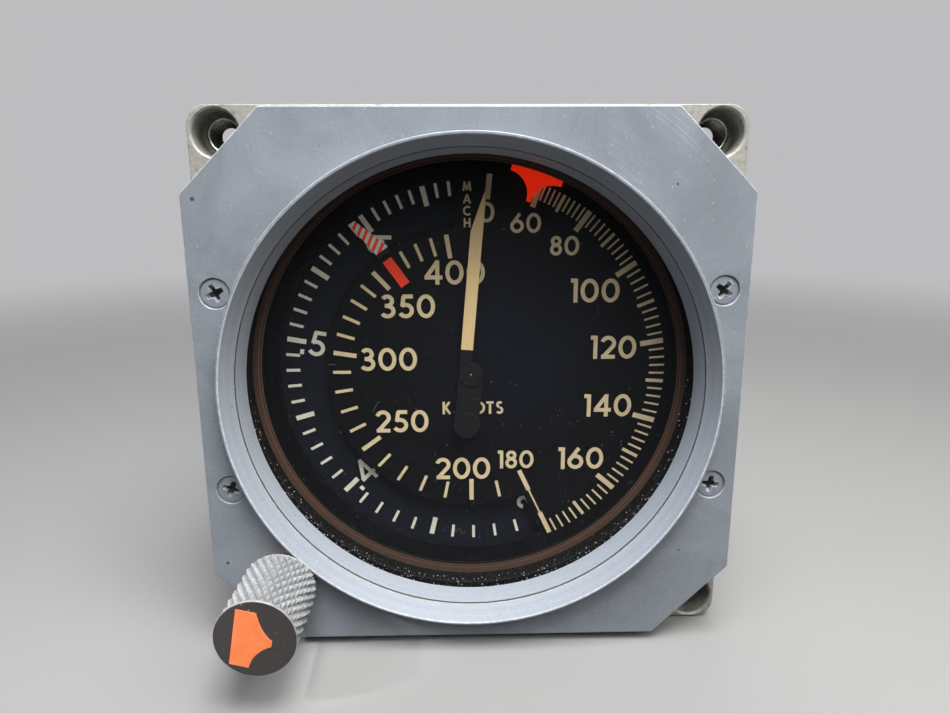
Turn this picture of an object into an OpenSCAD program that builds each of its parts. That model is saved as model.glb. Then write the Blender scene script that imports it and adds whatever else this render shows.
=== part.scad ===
// Airspeed indicator for a 3 1/8 inch panel opening, with its movement.
// The dial axis is Y and the dial faces -Y. +Z is up. Y = 0 is the plane where the round case body starts.
// Angles on the dial are compass angles: clockwise from the top, seen from the front.

/* [Bezel] */
// Width of the bezel across its flats
bezel_w = 82.55; // [81.5:0.05:84]
// Leg of the cut on each bezel corner
bezel_cut = 11.8; // [10.5:0.1:13]
// Thickness of the bezel plate
bezel_t = 5.5; // [5:0.1:7]
// Chamfer along the bezel's front edges
bezel_edge = 0.5; // [0.2:0.1:0.9]
// Distance from the bezel's flats in to the raised ring
lip_margin = 3.525; // [3.3:0.025:3.8]
// Height of the raised ring above the bezel's face
lip_h = 2.65; // [1.8:0.05:3.4]
// Width of the flat top of the raised ring
lip_w = 0.4; // [0.2:0.05:0.6]
// Width of the slope inside the raised ring, down to the inner ring's seam
lip_slope_w = 1.45; // [1.1:0.05:1.8]
// Depth of that seam behind the bezel's face
seam_depth = 0.65; // [0.3:0.05:1]
// Width of the ledge behind that slope, where the inner ring and the glass are seated
glass_seat_w = 1.1; // [0.9:0.05:1.3]
// Thickness of the gasket between bezel and case
bezel_gasket_t = 0.5; // [0.3:0.1:0.8]
// Distance from the bezel's flats in to its screws
bezel_screw_in = 3.775; // [3.3:0.025:4]
// Height of the bezel screws above and below the middle
bezel_screw_z = 15.3; // [14.8:0.1:18]
// Radius of a bezel screw's head
bezel_screw_head_r = 2.1; // [1.9:0.1:2.3]
// Radius of a bezel screw's shank
bezel_screw_r = 1; // [0.8:0.05:1.1]
// How far a bezel screw reaches into the flange
bezel_screw_bite = 4.2; // [3:0.1:4.6]

/* [Glass and rings] */
// How much the inner ring narrows from its seam to the glass
sight_taper = 0.7; // [0.4:0.05:1]
// Depth of the inner ring
inner_ring_h = 3.8; // [3.4:0.1:4.2]
// Thickness of the glass
glass_t = 2; // [1.6:0.1:2.4]
// Thickness of the rubber behind the glass
glass_gasket_t = 0.55; // [0.4:0.05:0.8]
// Width of the rubber behind the glass
glass_gasket_w = 1.4; // [1:0.1:1.8]
// Wall of the spacer ring
spacer_w = 2.25; // [2:0.05:2.6]
// Depth of the spacer ring
spacer_h = 3.85; // [3.5:0.05:4.3]

/* [Bug and knob] */
// How far the bug ring shows inside the sight
bug_ring_show = 0.45; // [0.2:0.05:0.8]
// Width of the bug ring, from its inner edge out to its pitch circle
bug_ring_w = 2.45; // [2.4:0.05:2.5]
// Thickness of the bug ring
bug_ring_t = 1.5; // [1.3:0.1:1.8]
// Teeth around the bug ring
bug_teeth = 124; // [123:1:124]
// Teeth on the knob's pinion
knob_teeth = 18; // [17:1:19]
// Place of the bug on the dial
bug_angle = 18.3; // [0:0.1:90]
// Half the width of the bug
bug_half_w = 4.28; // [3.6:0.05:5]
// How far the bug's tip reaches in from its ring
bug_reach = 4.9; // [4:0.05:5.4]
// Straight part of the bug's sides
bug_side = 2.1; // [1.6:0.1:2.6]
// Thickness of the bug
bug_t = 0.5; // [0.3:0.05:0.6]
// Radius over the knob's knurls
knob_r = 5.85; // [5.4:0.05:6.2]
// Length of the knob
knob_len = 13.2; // [11:0.1:16]
// Diamonds around the knob
knurl_around = 28; // [24:1:34]
// Rows of diamonds along the knob
knurl_rows = 8; // [6:1:10]
// Depth of the knurling
knurl_depth = 0.5; // [0.3:0.05:0.6]
// Radius of the black disc on the knob's face
knob_face_r = 5; // [4.4:0.05:5]
// Thickness of that disc
knob_face_t = 0.5; // [0.3:0.05:0.8]
// Radius of the knob's shaft
knob_shaft_r = 1.6; // [1.4:0.05:1.8]
// Radius of the bush's body
knob_bush_r = 3; // [2.8:0.05:3.2]

/* [Case] */
// How far the flange stands out past each side of the bezel
flange_side = 0.425; // [0.3:0.025:1.2]
// How far the flange stands out above and below the bezel
flange_top = 1.025; // [0.8:0.025:1.6]
// Thickness of that flange
flange_t = 8; // [7.5:0.1:9]
// Leg of the cut on the flange's knob corner
flange_cut = 10.5; // [9:0.1:11]
// Radius of the ears' corners
ear_corner_r = 3; // [2:0.1:4]
// Distance from the flange's sides in to the ears' holes
ear_in = 4.15; // [4:0.05:4.4]
// Distance from the flange's top and bottom edges to the ears' holes
ear_down = 4; // [3.9:0.05:4.3]
// Radius of the recess in an ear
ear_hole_r = 3.5; // [3.2:0.05:3.6]
// Depth of the recess in an ear
ear_hole_depth = 4.5; // [3.5:0.1:5]
// Outside radius of a threaded insert
insert_r = 2.7; // [2.5:0.05:2.9]
// Radius of an insert's thread
insert_thread_r = 1.75; // [1.6:0.05:1.9]
// How far the round case body stands in from the bezel's flats
body_in = 2.275; // [1.9:0.025:2.5]
// Wall of the case body
wall = 2.5; // [2.3:0.05:2.6]
// Length of the case body
body_len = 91; // [80:1:120]
// Thickness of the case's rear wall
rear_wall = 3; // [2.5:0.1:4]
// Radius of the threaded pressure ports
port_r = 4.33; // [4:0.01:4.6]
// Depth of the threaded pressure ports
port_depth = 8; // [7:0.1:8.4]
// Radius of the bosses around the ports
boss_r = 7.5; // [6.5:0.1:8]
// Height of those bosses behind the rear wall
boss_h = 6; // [5.8:0.1:8]

/* [Dial] */
// Play around the dial plate in the case
dial_play = 0.3; // [0.2:0.05:0.6]
// Thickness of the dial plate
dial_t = 1; // [0.8:0.05:1.2]
// Distance from the dial's rim in to its arc window
window_margin = 3.6; // [3:0.1:4.2]
// Width of the dial's arc window
window_w = 8.2; // [6.6:0.1:8.6]
// Where the arc window starts
window_from = 157.5; // [150:0.5:165]
// Where the arc window ends
window_to = 354.7; // [345:0.1:356]
// Play around the disk behind the window
disk_play = 2.5; // [2.4:0.1:3.1]
// Thickness of that disk
disk_t = 0.8; // [0.6:0.05:0.9]
// Space from the dial's back to the disk's face
disk_gap = 1.2; // [1.1:0.05:1.5]

/* [Pointers] */
// Where the airspeed pointer rests
pointer_angle = 5; // [0:0.1:10]
// Distance from the airspeed pointer's tip to the dial's rim
pointer_short = 6.25; // [5.7:0.05:10]
// Length of the taper at that tip
pointer_taper = 6.35; // [5:0.05:9]
// Width of the pointer's blade
pointer_w = 2; // [1.6:0.05:2.4]
// Radius of the pointer's hub
pointer_hub_r = 2.06; // [1.8:0.02:2.4]
// Distance from the pointer's axis to its counterweight
pointer_tail = 8.9; // [7:0.1:11]
// Radius of the counterweight
pointer_weight_r = 2.3; // [2:0.05:3]
// Thickness of the pointer
pointer_t = 0.4; // [0.3:0.05:0.5]
// Radius of the pointer's staff
staff_r = 0.5; // [0.4:0.02:0.55]
// Where the limit pointer rests
limit_angle = 323.8; // [318:0.1:330]
// Distance from the limit pointer's tip to the window's outer edge
limit_short = 0.9; // [0.4:0.1:2.6]
// Distance from the window's inner edge out to the limit pointer's stripes
limit_stripe_in = 0.95; // [0.4:0.05:2.6]

/* [Movement] */
// Tooth module of the movement's gears
gear_module = 0.3; // [0.295:0.001:0.305]
// Teeth on the pointer's pinion
pinion_teeth = 16; // [16:1:18]
// Teeth that a whole airspeed sector would have
speed_sector_teeth = 128; // [124:1:130]
// Teeth on the disk's gear
disk_gear_teeth = 20; // [19:1:22]
// Teeth that a whole disk sector would have
disk_sector_teeth = 120; // [118:1:122]
// Teeth on the limit pointer's gear
limit_gear_teeth = 47; // [44:1:50]
// Thickness of the gears
gear_t = 1.2; // [1:0.05:1.4]
// Radius of the rocking shafts
rock_shaft_r = 1; // [0.9:0.02:1.1]
// Length of the crank arms
crank_arm = 3; // [2.8:0.05:3.1]
// Thickness of the movement's plates
plate_t = 1.6; // [1.4:0.05:1.8]
// Play around the movement's front plate in the case
front_plate_play = 2.3; // [2.2:0.05:2.5]
// How much smaller in radius the rear plate is
rear_plate_step = 3.7; // [3.4:0.1:4.2]
// Radius of a pillar
pillar_r = 2; // [1.8:0.05:2.2]
// Distance from the rear plate's rim in to the pillars
pillar_in = 3.5; // [3.1:0.1:3.9]
// Radius of the two pressure capsules
capsule_r = 12.5; // [11.5:0.1:12.8]
// Height of a pressure capsule at its middle
capsule_h = 8; // [7:0.1:8.4]
// Distance of the capsules' axes from the middle
capsule_x = 10; // [9.6:0.05:10.4]
// Height of the capsules' inner faces above and below the middle
capsule_z = 13; // [12.6:0.1:13.2]
// Thickness of a capsule's skin
capsule_skin = 0.25; // [0.2:0.01:0.35]
// Radius of the pitot tube
tube_r = 1.2; // [1:0.05:1.3]

/* [Hidden] */
$fn = 96;

// Radial clearances: a pressed or threaded seat, a running shaft, a loose piece
snug = 0.02;
run = 0.05;
loose = 0.3;
// Overrun of a cut past the face that it opens
over = 1;

// Radii, from the bezel's flats inwards
bezel_half = bezel_w / 2;
lip_r = bezel_half - lip_margin;
seam_r = lip_r - lip_w - lip_slope_w;
glass_seat_r = seam_r + glass_seat_w;
glass_gasket_r = glass_seat_r - glass_gasket_w;
sight_r = seam_r - sight_taper;
bug_ring_r = sight_r - bug_ring_show;
bug_tip_r = bug_ring_r - bug_reach;
bug_module = 2 * (bug_ring_r + bug_ring_w) / bug_teeth;
bezel_screw_x = bezel_half - bezel_screw_in;
flange_w = bezel_w + 2 * flange_side;
flange_h = bezel_w + 2 * flange_top;
ear_x = flange_w / 2 - ear_in;
ear_z = flange_h / 2 - ear_down;

// Radii inside the round case body
body_r = bezel_half - body_in;
cavity_r = body_r - wall;
dial_r = cavity_r - dial_play;
window_out_r = dial_r - window_margin;
window_in_r = window_out_r - window_w;
disk_r = cavity_r - disk_play;
pointer_r = dial_r - pointer_short;
pointer_shoulder_r = pointer_r - pointer_taper;
limit_r = window_out_r - limit_short;
limit_stripe_r = window_in_r + limit_stripe_in;
front_plate_r = cavity_r - front_plate_play;
rear_plate_r = front_plate_r - rear_plate_step;
pillar_ring_r = rear_plate_r - pillar_in;

// Stations along Y, front to back
y_flange = -flange_t;
y_bezel_back = y_flange - bezel_gasket_t;
y_bezel = y_bezel_back - bezel_t;
y_lip = y_bezel - lip_h;
y_seam = y_bezel + seam_depth;
y_glass = y_seam + inner_ring_h;
y_glass_back = y_glass + glass_t;
y_spacer = y_glass_back + glass_gasket_t;
y_step = y_spacer + spacer_h;
ring_play = 0.2;
y_ring = y_step + ring_play;
y_ring_back = y_ring + bug_ring_t;
y_shoulder = y_ring_back + ring_play;
y_bug = y_ring_back - bug_t;
dial_sink = 0.75;
y_dial = y_shoulder + dial_sink;
y_dial_back = y_dial + dial_t;
y_pointer = y_bug - loose - pointer_t;
limit_t = 0.3;
limit_gap = 0.4;
y_limit = y_dial_back + limit_gap;
y_disk = y_dial_back + disk_gap;
y_disk_back = y_disk + disk_t;
plate_gap = 1.5;
y_plate = y_disk_back + plate_gap;
y_plate_back = y_plate + plate_t;
disk_gear_gap = 0.6;
y_disk_gear = y_plate_back + disk_gear_gap;
limit_gear_gap = 0.8;
y_limit_gear = y_disk_gear + gear_t + limit_gear_gap;
sector_gap = 2.2;
y_sector = y_limit_gear + gear_t + sector_gap;
spring_gap = 1.2;
y_spring = y_sector + gear_t + spring_gap;
spring_t = 0.8;
y_rear_plate = y_spring + spring_t + spring_gap;
y_rear_plate_back = y_rear_plate + plate_t;
foot_t = 1.5;
foot_gap = 0.4;
y_capsule = y_rear_plate_back + foot_t + foot_gap + capsule_r;
y_rear = body_len - rear_wall;

// Bores of the case
ring_bore_play = 0.8;
ring_bore_r = bug_teeth * bug_module / 2 + ring_bore_play;
spacer_step = 0.5;
spacer_seat_r = ring_bore_r + spacer_step;
spacer_r = spacer_seat_r - run - spacer_w;

// Lugs inside the case carry the dial and the movement
lug_angles = [60, 180, 300];
lug_w = 7;
lug_len = 9;
lug_play = 0.5;
dial_lug_r = disk_r + lug_play;
movement_lug_play = 0.7;
movement_lug_r = rear_plate_r + movement_lug_play;
dial_screw_ring_r = (dial_lug_r + cavity_r) / 2;
dial_screw_r = 0.5;
dial_screw_head_r = 0.8;
dial_screw_head_h = 0.35;
movement_screw_ring_r = (movement_lug_r + front_plate_r) / 2;
movement_screw_r = 0.7;
movement_screw_head_r = 1.2;
screw_head_h = 0.8;
screw_bite = 3;

// The knob's axis stands on the diagonal, at the gears' centre distance
knob_centre_r = (bug_teeth + knob_teeth) * bug_module / 2;
knob_angle = 225;
knob_gap = 0.5;
y_knob_back = y_lip - knob_gap;
y_knob = y_knob_back - knob_len;
knob_tail_r = 1;
knob_tail_len = 0.7;
knob_tail_play = 0.1;
knob_bush_flange_w = 1;
knob_bush_flange_r = knob_bush_r + knob_bush_flange_w;
knob_bush_flange_t = 1.2;
knob_bush_out = 2;
y_knob_bush_back = y_bezel_back + knob_bush_out;
seal_wire_r = 0.48;
seal_seat_h = 1.6;

// Gear teeth: addendum and dedendum in modules, and play at the pitch circle in modules
pressure_angle = 20;
addendum = 0.8;
dedendum = 1.05;
tooth_play = 0.2;

// Rocking shafts stand at the gears' centre distances, above and below the dial axis
speed_centre = (pinion_teeth + speed_sector_teeth) * gear_module / 2;
alt_centre = (disk_gear_teeth + disk_sector_teeth) * gear_module / 2;
limit_sector_teeth = disk_gear_teeth + disk_sector_teeth - limit_gear_teeth;
speed_swing = 43;
alt_low = 4;
alt_high = 36;
sector_spare = 3;
alt_mid = (alt_high - alt_low) / 2;
speed_shaft_x = capsule_x - crank_arm * (1 + cos(speed_swing / 2)) / 2;
speed_shaft_z = sqrt(speed_centre * speed_centre - speed_shaft_x * speed_shaft_x);
alt_shaft_x = -capsule_x - crank_arm * (1 + cos((alt_high + alt_low) / 2)) / 2;
alt_shaft_z = -sqrt(alt_centre * alt_centre - alt_shaft_x * alt_shaft_x);
speed_shaft = [speed_shaft_x, speed_shaft_z];
alt_shaft = [alt_shaft_x, alt_shaft_z];

// Pipes around the staff
pipe_wall = 0.5;
limit_pipe_in_r = staff_r + run;
limit_pipe_r = limit_pipe_in_r + pipe_wall;
disk_pipe_in_r = limit_pipe_r + run;
disk_pipe_wall = 0.7;
disk_pipe_r = disk_pipe_in_r + disk_pipe_wall;
disk_hub_r = 4;
bush_wall = 1.1;
pillar_angles = [80, 200, 320];
pillar_screw_r = 0.8;
pillar_screw_head_r = 1.5;

// Crank pins, links and brackets
crank_t = 1.2;
crank_pin_r = 0.4;
crank_pin_play = 0.1;
eye_t = 0.8;
eye_w = 2.4;
link_r = 0.55;
crank_hub_r = 1.9;
crank_w = 1.4;
crank_eye_r = 0.95;
crank_gap = 0.4;
y_crank = y_capsule + eye_t / 2 + crank_gap;
stem_r = 2;
stem_bore_r = 0.8;
stem_h = 2.5;
capsule_boss_h = 1;
shelf_t = 1.5;
shelf_z = capsule_z + capsule_h + stem_h;
bracket_w = 8;
foot_top_z = 6.5;
bracket_screw_z = [8, 11];
bracket_screw_r = 0.7;
bracket_screw_head_r = 1.2;
union_size = 6;
union_h = 4;
port_x = capsule_x;
port_z = -shelf_z - shelf_t - union_h / 2;

// Point on the dial at radius r and compass angle a
function dial_point(r, a) = [r * sin(a), r * cos(a)];

// Compass angle of a point
function compass(p) = atan2(p[0], p[1]);

// Arc of points from compass angle a0 to a1
function arc(r, a0, a1, n = 16) = [for (k = [0:n]) dial_point(r, a0 + (a1 - a0) * k / n)];

// Involute angle in degrees at pressure angle p
function involute(p) = tan(p) * 180 / PI - p;

// Half the angle that a tooth fills at radius r, in a gear of n teeth and module m
function half_tooth(n, m, r) =
    let (pitch_r = n * m / 2, base_r = pitch_r * cos(pressure_angle), p = r > base_r ? acos(base_r / r) : 0)
    90 / n - tooth_play * m * 45 / (PI * pitch_r) + involute(pressure_angle) - involute(p);

// Outline of one tooth whose middle is at compass angle a
function tooth(n, m, a) =
    let (pitch_r = n * m / 2, root_r = pitch_r - dedendum * m, tip_r = pitch_r + addendum * m)
    let (radii = [root_r, (root_r + pitch_r) / 2, pitch_r, tip_r])
    concat([for (r = radii) dial_point(r, a - half_tooth(n, m, r))],
        [for (k = [3:-1:0]) dial_point(radii[k], a + half_tooth(n, m, radii[k]))]);

// Outline of a whole gear with a tooth at compass angle a
function gear_outline(n, m, a) = [for (k = [0:n - 1]) each tooth(n, m, a + k * 360 / n)];

// Outline of a sector with a tooth at compass angle a, from lo degrees before it to hi degrees after it
function sector_outline(n, m, a, lo, hi) =
    concat([[0, 0]], [for (k = [-ceil(lo * n / 360):ceil(hi * n / 360)]) each tooth(n, m, a + k * 360 / n)]);

// Plate drawn as the dial is seen, from y to y + t
module sheet(y, t) translate([0, y + t, 0]) rotate([90, 0, 0]) linear_extrude(t) children();

// Solid turned about the dial axis from a profile of [radius, y]
module turned() rotate([-90, 0, 0]) rotate_extrude() children();

// Round bar along Y
module rod(y0, y1, r) translate([0, y0, 0]) rotate([-90, 0, 0]) cylinder(r = r, h = y1 - y0);

// Moves a piece to a point on the dial
module at(p) translate([p[0], 0, p[1]]) children();
module at_knob() at(dial_point(knob_centre_r, knob_angle)) children();
module at_bezel_screws() for (x = [-1, 1], z = [-1, 1])
    at([x * bezel_screw_x, z * bezel_screw_z]) children();
module at_ears() for (s = [[-1, 1], [1, 1], [1, -1]]) at([s[0] * ear_x, s[1] * ear_z]) children();
module at_lugs(r) for (a = lug_angles) at(dial_point(r, a)) children();
module at_pillars() for (a = pillar_angles) at(dial_point(pillar_ring_r, a)) children();

// Screw with a round head: the head's seat is at y, and the head stands on the side that dir points to
module screw(y, dir, r, bite, head_r, head_h) {
    if (dir < 0) {
        rod(y, y + bite, r);
        rod(y - head_h, y, head_r);
    } else {
        rod(y - bite, y, r);
        rod(y, y + head_h, head_r);
    }
}

module octagon(w, cut) {
    h = w / 2;
    c = h - cut;
    polygon([[c, h], [h, c], [h, -c], [c, -h], [-c, -h], [-h, -c], [-h, c], [-c, h]]);
}

module flange_outline() difference() {
    union() {
        square([flange_w - 2 * ear_corner_r, flange_h], center = true);
        square([flange_w, flange_h - 2 * ear_corner_r], center = true);
        for (x = [-1, 1], z = [-1, 1])
            translate([x * (flange_w / 2 - ear_corner_r), z * (flange_h / 2 - ear_corner_r)])
                circle(ear_corner_r);
    }
    translate([-flange_w / 2, -flange_h / 2])
        polygon([[-over, -over], [flange_cut + over, -over], [-over, flange_cut + over]]);
}

// Block on the case's wall, from radius r outwards, centred on compass angle a
module lug(r, a, y0, y1) rotate([0, a, 0]) translate([-lug_w / 2, y0, r])
    cube([lug_w, y1 - y0, cavity_r - r + wall / 2]);

module case_flange() color("gainsboro") difference() {
    sheet(y_flange, flange_t) flange_outline();
    rod(y_flange - over, y_step, spacer_seat_r);
    rod(y_flange - over, y_shoulder, ring_bore_r);
    rod(y_flange - over, over, cavity_r);
    at_knob() {
        rod(y_flange - over, y_shoulder, knob_teeth * bug_module / 2 + addendum * bug_module + loose);
        rod(y_shoulder - over, y_shoulder + knob_tail_len + knob_tail_play, knob_tail_r + run);
    }
    at_bezel_screws() rod(y_flange - over, y_flange + bezel_screw_bite + loose, bezel_screw_r + snug);
    at_ears() {
        rod(y_flange - over, y_flange + ear_hole_depth, ear_hole_r);
        rod(y_flange, over, insert_r + snug);
    }
}

module case_barrel() color("gainsboro") difference() {
    union() {
        rod(0, body_len, body_r);
        for (x = [-port_x, port_x])
            at([x, port_z]) rod(body_len - over, body_len + boss_h, boss_r);
    }
    difference() {
        rod(-over, y_rear, cavity_r);
        for (a = lug_angles) {
            lug(dial_lug_r, a, y_dial_back, y_plate_back + lug_len);
            lug(movement_lug_r, a, y_plate_back, y_plate_back + lug_len);
        }
    }
    at_lugs(dial_screw_ring_r)
        rod(y_dial_back - over, y_dial_back + screw_bite + loose, dial_screw_r + snug);
    at_lugs(movement_screw_ring_r)
        rod(y_plate_back - over, y_plate_back + screw_bite + loose, movement_screw_r + snug);
    for (x = [-port_x, port_x])
        at([x, port_z]) {
            rod(body_len + boss_h - port_depth, body_len + boss_h + over, port_r);
            rod(y_rear - over, body_len + boss_h, tube_r + snug);
        }
}

module mount_inserts() color("darkgray") at_ears() difference() {
    rod(y_flange + ear_hole_depth, 0, insert_r);
    rod(y_flange, over, insert_thread_r);
}

// Octagonal slab whose front edges are chamfered
module bezel_slab() {
    inset = bezel_edge;
    front_cut = bezel_cut - (2 - sqrt(2)) * inset;
    rings = [[y_bezel, bezel_w / 2 - inset, front_cut], [y_bezel + inset, bezel_w / 2, bezel_cut],
        [y_bezel_back, bezel_w / 2, bezel_cut]];
    corners = [for (g = rings) let (y = g[0], h = g[1], c = g[1] - g[2])
        each [[c, y, h], [h, y, c], [h, y, -c], [c, y, -h],
            [-c, y, -h], [-h, y, -c], [-h, y, c], [-c, y, h]]];
    sides = [for (g = [0, 8], k = [0:7]) let (next = (k + 1) % 8)
        [g + k, g + 8 + k, g + 8 + next, g + next]];
    polyhedron(corners, concat([[for (k = [0:7]) k]], sides, [[for (k = [7:-1:0]) 16 + k]]));
}

module bezel() color("slategray") difference() {
    union() {
        bezel_slab();
        rod(y_lip, y_bezel + over, lip_r);
    }
    turned() polygon([[0, y_lip - over], [lip_r - lip_w, y_lip - over], [lip_r - lip_w, y_lip],
        [seam_r, y_seam], [glass_seat_r, y_seam], [glass_seat_r, y_bezel_back + over],
        [0, y_bezel_back + over]]);
    at_bezel_screws() {
        rod(y_bezel - over, y_bezel_back + over, bezel_screw_r + bezel_screw_play);
        screw_cone(bezel_screw_head_r + bezel_screw_head_play);
    }
    at_knob() rod(y_bezel - over, y_bezel_back + over, knob_bush_r + snug);
}

// Countersink or head of a bezel screw, sunk a little below the face
bezel_screw_sink = 0.2;
bezel_screw_rim = 0.2;
bezel_screw_play = 0.1;
bezel_screw_head_play = 0.15;
module screw_cone(r) {
    y_top = r > bezel_screw_head_r ? y_bezel - over : y_bezel + bezel_screw_sink;
    y_cone = y_bezel + bezel_screw_sink + bezel_screw_rim;
    rod(y_top, y_cone, r);
    translate([0, y_cone, 0]) rotate([-90, 0, 0])
        cylinder(r1 = r, r2 = bezel_screw_r, h = r - bezel_screw_r);
}

// Cross recess of a countersunk screw
cross_l = 2.4;
cross_w = 0.55;
cross_h = 0.8;
module bezel_screws() color("silver") at_bezel_screws() difference() {
    union() {
        screw_cone(bezel_screw_head_r);
        rod(y_bezel + over, y_flange + bezel_screw_bite, bezel_screw_r);
    }
    for (a = [30, 120])
        rotate([0, a, 0]) translate([-cross_l / 2, y_bezel, -cross_w / 2]) cube([cross_l, cross_h, cross_w]);
}

bezel_gasket_in = 0.5;
module bezel_gasket() color("dimgray") sheet(y_bezel_back, bezel_gasket_t) difference() {
    octagon(bezel_w - 2 * bezel_gasket_in, bezel_cut);
    circle(spacer_seat_r);
    for (x = [-1, 1], z = [-1, 1])
        translate([x * bezel_screw_x, z * bezel_screw_z]) circle(bezel_screw_r + loose);
    translate(dial_point(knob_centre_r, knob_angle)) circle(knob_bush_r + loose);
}

module inner_ring() color("lightslategray") turned()
    polygon([[seam_r, y_seam], [glass_seat_r - snug, y_seam], [glass_seat_r - snug, y_glass],
        [sight_r, y_glass]]);

module glass() color("aliceblue", 0.3) rod(y_glass, y_glass_back, glass_seat_r - run);

module glass_gasket() color("black") turned()
    polygon([[glass_gasket_r, y_glass_back], [glass_seat_r, y_glass_back], [glass_seat_r, y_spacer],
        [glass_gasket_r, y_spacer]]);

module spacer_ring() color("black") turned()
    polygon([[spacer_r, y_spacer], [spacer_seat_r - run, y_spacer], [spacer_seat_r - run, y_step],
        [spacer_r, y_step]]);

// The bug sits in a rebate at the back of its ring
bug_rebate = 1;
bug_seat_r = bug_ring_r + bug_rebate;
module bug_ring() color("saddlebrown") difference() {
    sheet(y_ring, bug_ring_t) polygon(gear_outline(bug_teeth, bug_module, knob_angle));
    rod(y_ring - over, y_ring_back + over, bug_ring_r);
    rod(y_bug, y_ring_back + over, bug_seat_r);
}

// Quarter of an ellipse from the bug's side round to its tip
bug_tip_half_w = 0.35;
function bug_hollow(n = 10) = let (base = bug_seat_r - bug_side)
    [for (k = [0:n]) [bug_half_w - (bug_half_w - bug_tip_half_w) * sin(90 * k / n), bug_tip_r
        + (base - bug_tip_r) * cos(90 * k / n)]];
module bug() color("orangered") rotate([0, bug_angle, 0]) sheet(y_bug, bug_t) {
    hollow = bug_hollow();
    edge_a = asin(bug_half_w / (bug_seat_r - run));
    polygon(concat(arc(bug_seat_r - run, -edge_a, edge_a), hollow,
        [for (k = [len(hollow) - 1:-1:0]) [-hollow[k][0], hollow[k][1]]]));
}

// Surface of diamonds: points of a turned grid are raised in a chequer, and each cell folds along its valley
module knurl(r0, r1, y0, y1) {
    ni = 2 * knurl_around;
    nj = 2 * knurl_rows;
    points = [for (j = [0:nj], i = [0:ni - 1])
        let (raised = (i + j) % 2 == 1 && j > 0 && j < nj, p = dial_point(raised ? r1 : r0, i * 360 / ni))
        [p[0], y0 + (y1 - y0) * j / nj, p[1]]];
    cells = [for (j = [0:nj - 1], i = [0:ni - 1])
        let (a = j * ni + i, b = j * ni + (i + 1) % ni, c = b + ni, d = a + ni)
        each (i + j) % 2 == 0 ? [[a, c, b], [a, d, c]] : [[a, d, b], [b, d, c]]];
    polyhedron(points, concat(cells, [[for (i = [0:ni - 1]) i], [for (i = [ni - 1:-1:0]) nj * ni + i]]));
}

set_screw_r = 0.8;
set_screw_in = 3.5;
y_set_screw = y_knob_back - set_screw_in;
shaft_end_in = 4;
y_shaft_front = y_knob + shaft_end_in;
module knob() color("silver") at_knob() difference() {
    knurl(knob_r - knurl_depth, knob_r, y_knob, y_knob_back);
    rod(y_knob - over, y_knob + knob_face_t, knob_face_r + snug);
    rod(y_shaft_front - loose, y_knob_back + over, knob_shaft_r + snug);
    translate([0, y_set_screw, -knob_r - over]) cylinder(r = set_screw_r + snug, h = knob_r + over);
}

module knob_face() color("black") at_knob() rod(y_knob, y_knob + knob_face_t, knob_face_r);

module knob_set_screw() color("dimgray") at_knob()
    translate([0, y_set_screw, -knob_r + knurl_depth]) difference() {
        cylinder(r = set_screw_r, h = knob_r - knurl_depth - knob_shaft_r - run);
        translate([0, 0, -over]) cylinder(r = set_screw_r / 2, h = over + 1, $fn = 6);
    }

module knob_shaft() color("gainsboro") at_knob() {
    rod(y_shaft_front, y_ring_back, knob_shaft_r);
    rod(y_ring_back, y_shoulder + knob_tail_len, knob_tail_r);
}

module knob_bush() color("goldenrod") at_knob() difference() {
    union() {
        rod(y_bezel - knob_bush_flange_t, y_bezel, knob_bush_flange_r);
        rod(y_bezel, y_knob_bush_back, knob_bush_r);
    }
    rod(y_bezel - knob_bush_flange_t - over, y_knob_bush_back + over, knob_shaft_r + run);
    rod(y_knob_bush_back - seal_seat_h, y_knob_bush_back + over, knob_shaft_r + 2 * seal_wire_r + 2 * run);
}

module knob_seal() color("black") at_knob()
    translate([0, y_knob_bush_back - seal_seat_h / 2, 0]) rotate([-90, 0, 0]) rotate_extrude()
        translate([knob_shaft_r + run + seal_wire_r, 0]) circle(seal_wire_r, $fn = 32);

module knob_pinion() color("goldenrod") at_knob() difference() {
    sheet(y_ring, bug_ring_t)
        polygon(gear_outline(knob_teeth, bug_module, knob_angle - 180 + 180 / knob_teeth));
    rod(y_ring - over, y_ring_back + over, knob_shaft_r + snug);
}

// Wedge of the dial between two compass angles
module wedge(a0, a1) polygon(concat([[0, 0]], arc(2 * dial_r, a0, a1, 24)));

dial_hole_r = 1.6;
module dial() color([0.09, 0.09, 0.1]) sheet(y_dial, dial_t) difference() {
    circle(dial_r);
    circle(dial_hole_r);
    for (a = lug_angles)
        translate(dial_point(dial_screw_ring_r, a)) circle(dial_screw_r + snug);
    intersection() {
        difference() {
            circle(window_out_r);
            circle(window_in_r);
        }
        wedge(window_from, window_to);
    }
}

module dial_screws() color("black") at_lugs(dial_screw_ring_r) union()
    screw(y_dial, -1, dial_screw_r, dial_t + screw_bite, dial_screw_head_r, dial_screw_head_h);

module mach_disk() color([0.1, 0.1, 0.11]) sheet(y_disk, disk_t) difference() {
    circle(disk_r);
    circle(disk_pipe_r + snug);
}

disk_hub_h = 0.8;
disk_pipe_end = 0.2;
y_disk_pipe_back = y_disk_gear + gear_t + disk_pipe_end;
module disk_pipe() color("goldenrod") difference() {
    union() {
        rod(y_disk, y_disk_pipe_back, disk_pipe_r);
        rod(y_disk_back, y_disk_back + disk_hub_h, disk_hub_r);
    }
    rod(y_disk - over, y_disk_pipe_back + over, disk_pipe_in_r);
}

module disk_gear() color("goldenrod") difference() {
    sheet(y_disk_gear, gear_t)
        polygon(gear_outline(disk_gear_teeth, gear_module, compass(alt_shaft) + 180 / disk_gear_teeth));
    rod(y_disk_gear - over, y_disk_gear + gear_t + over, disk_pipe_r + snug);
}

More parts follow.
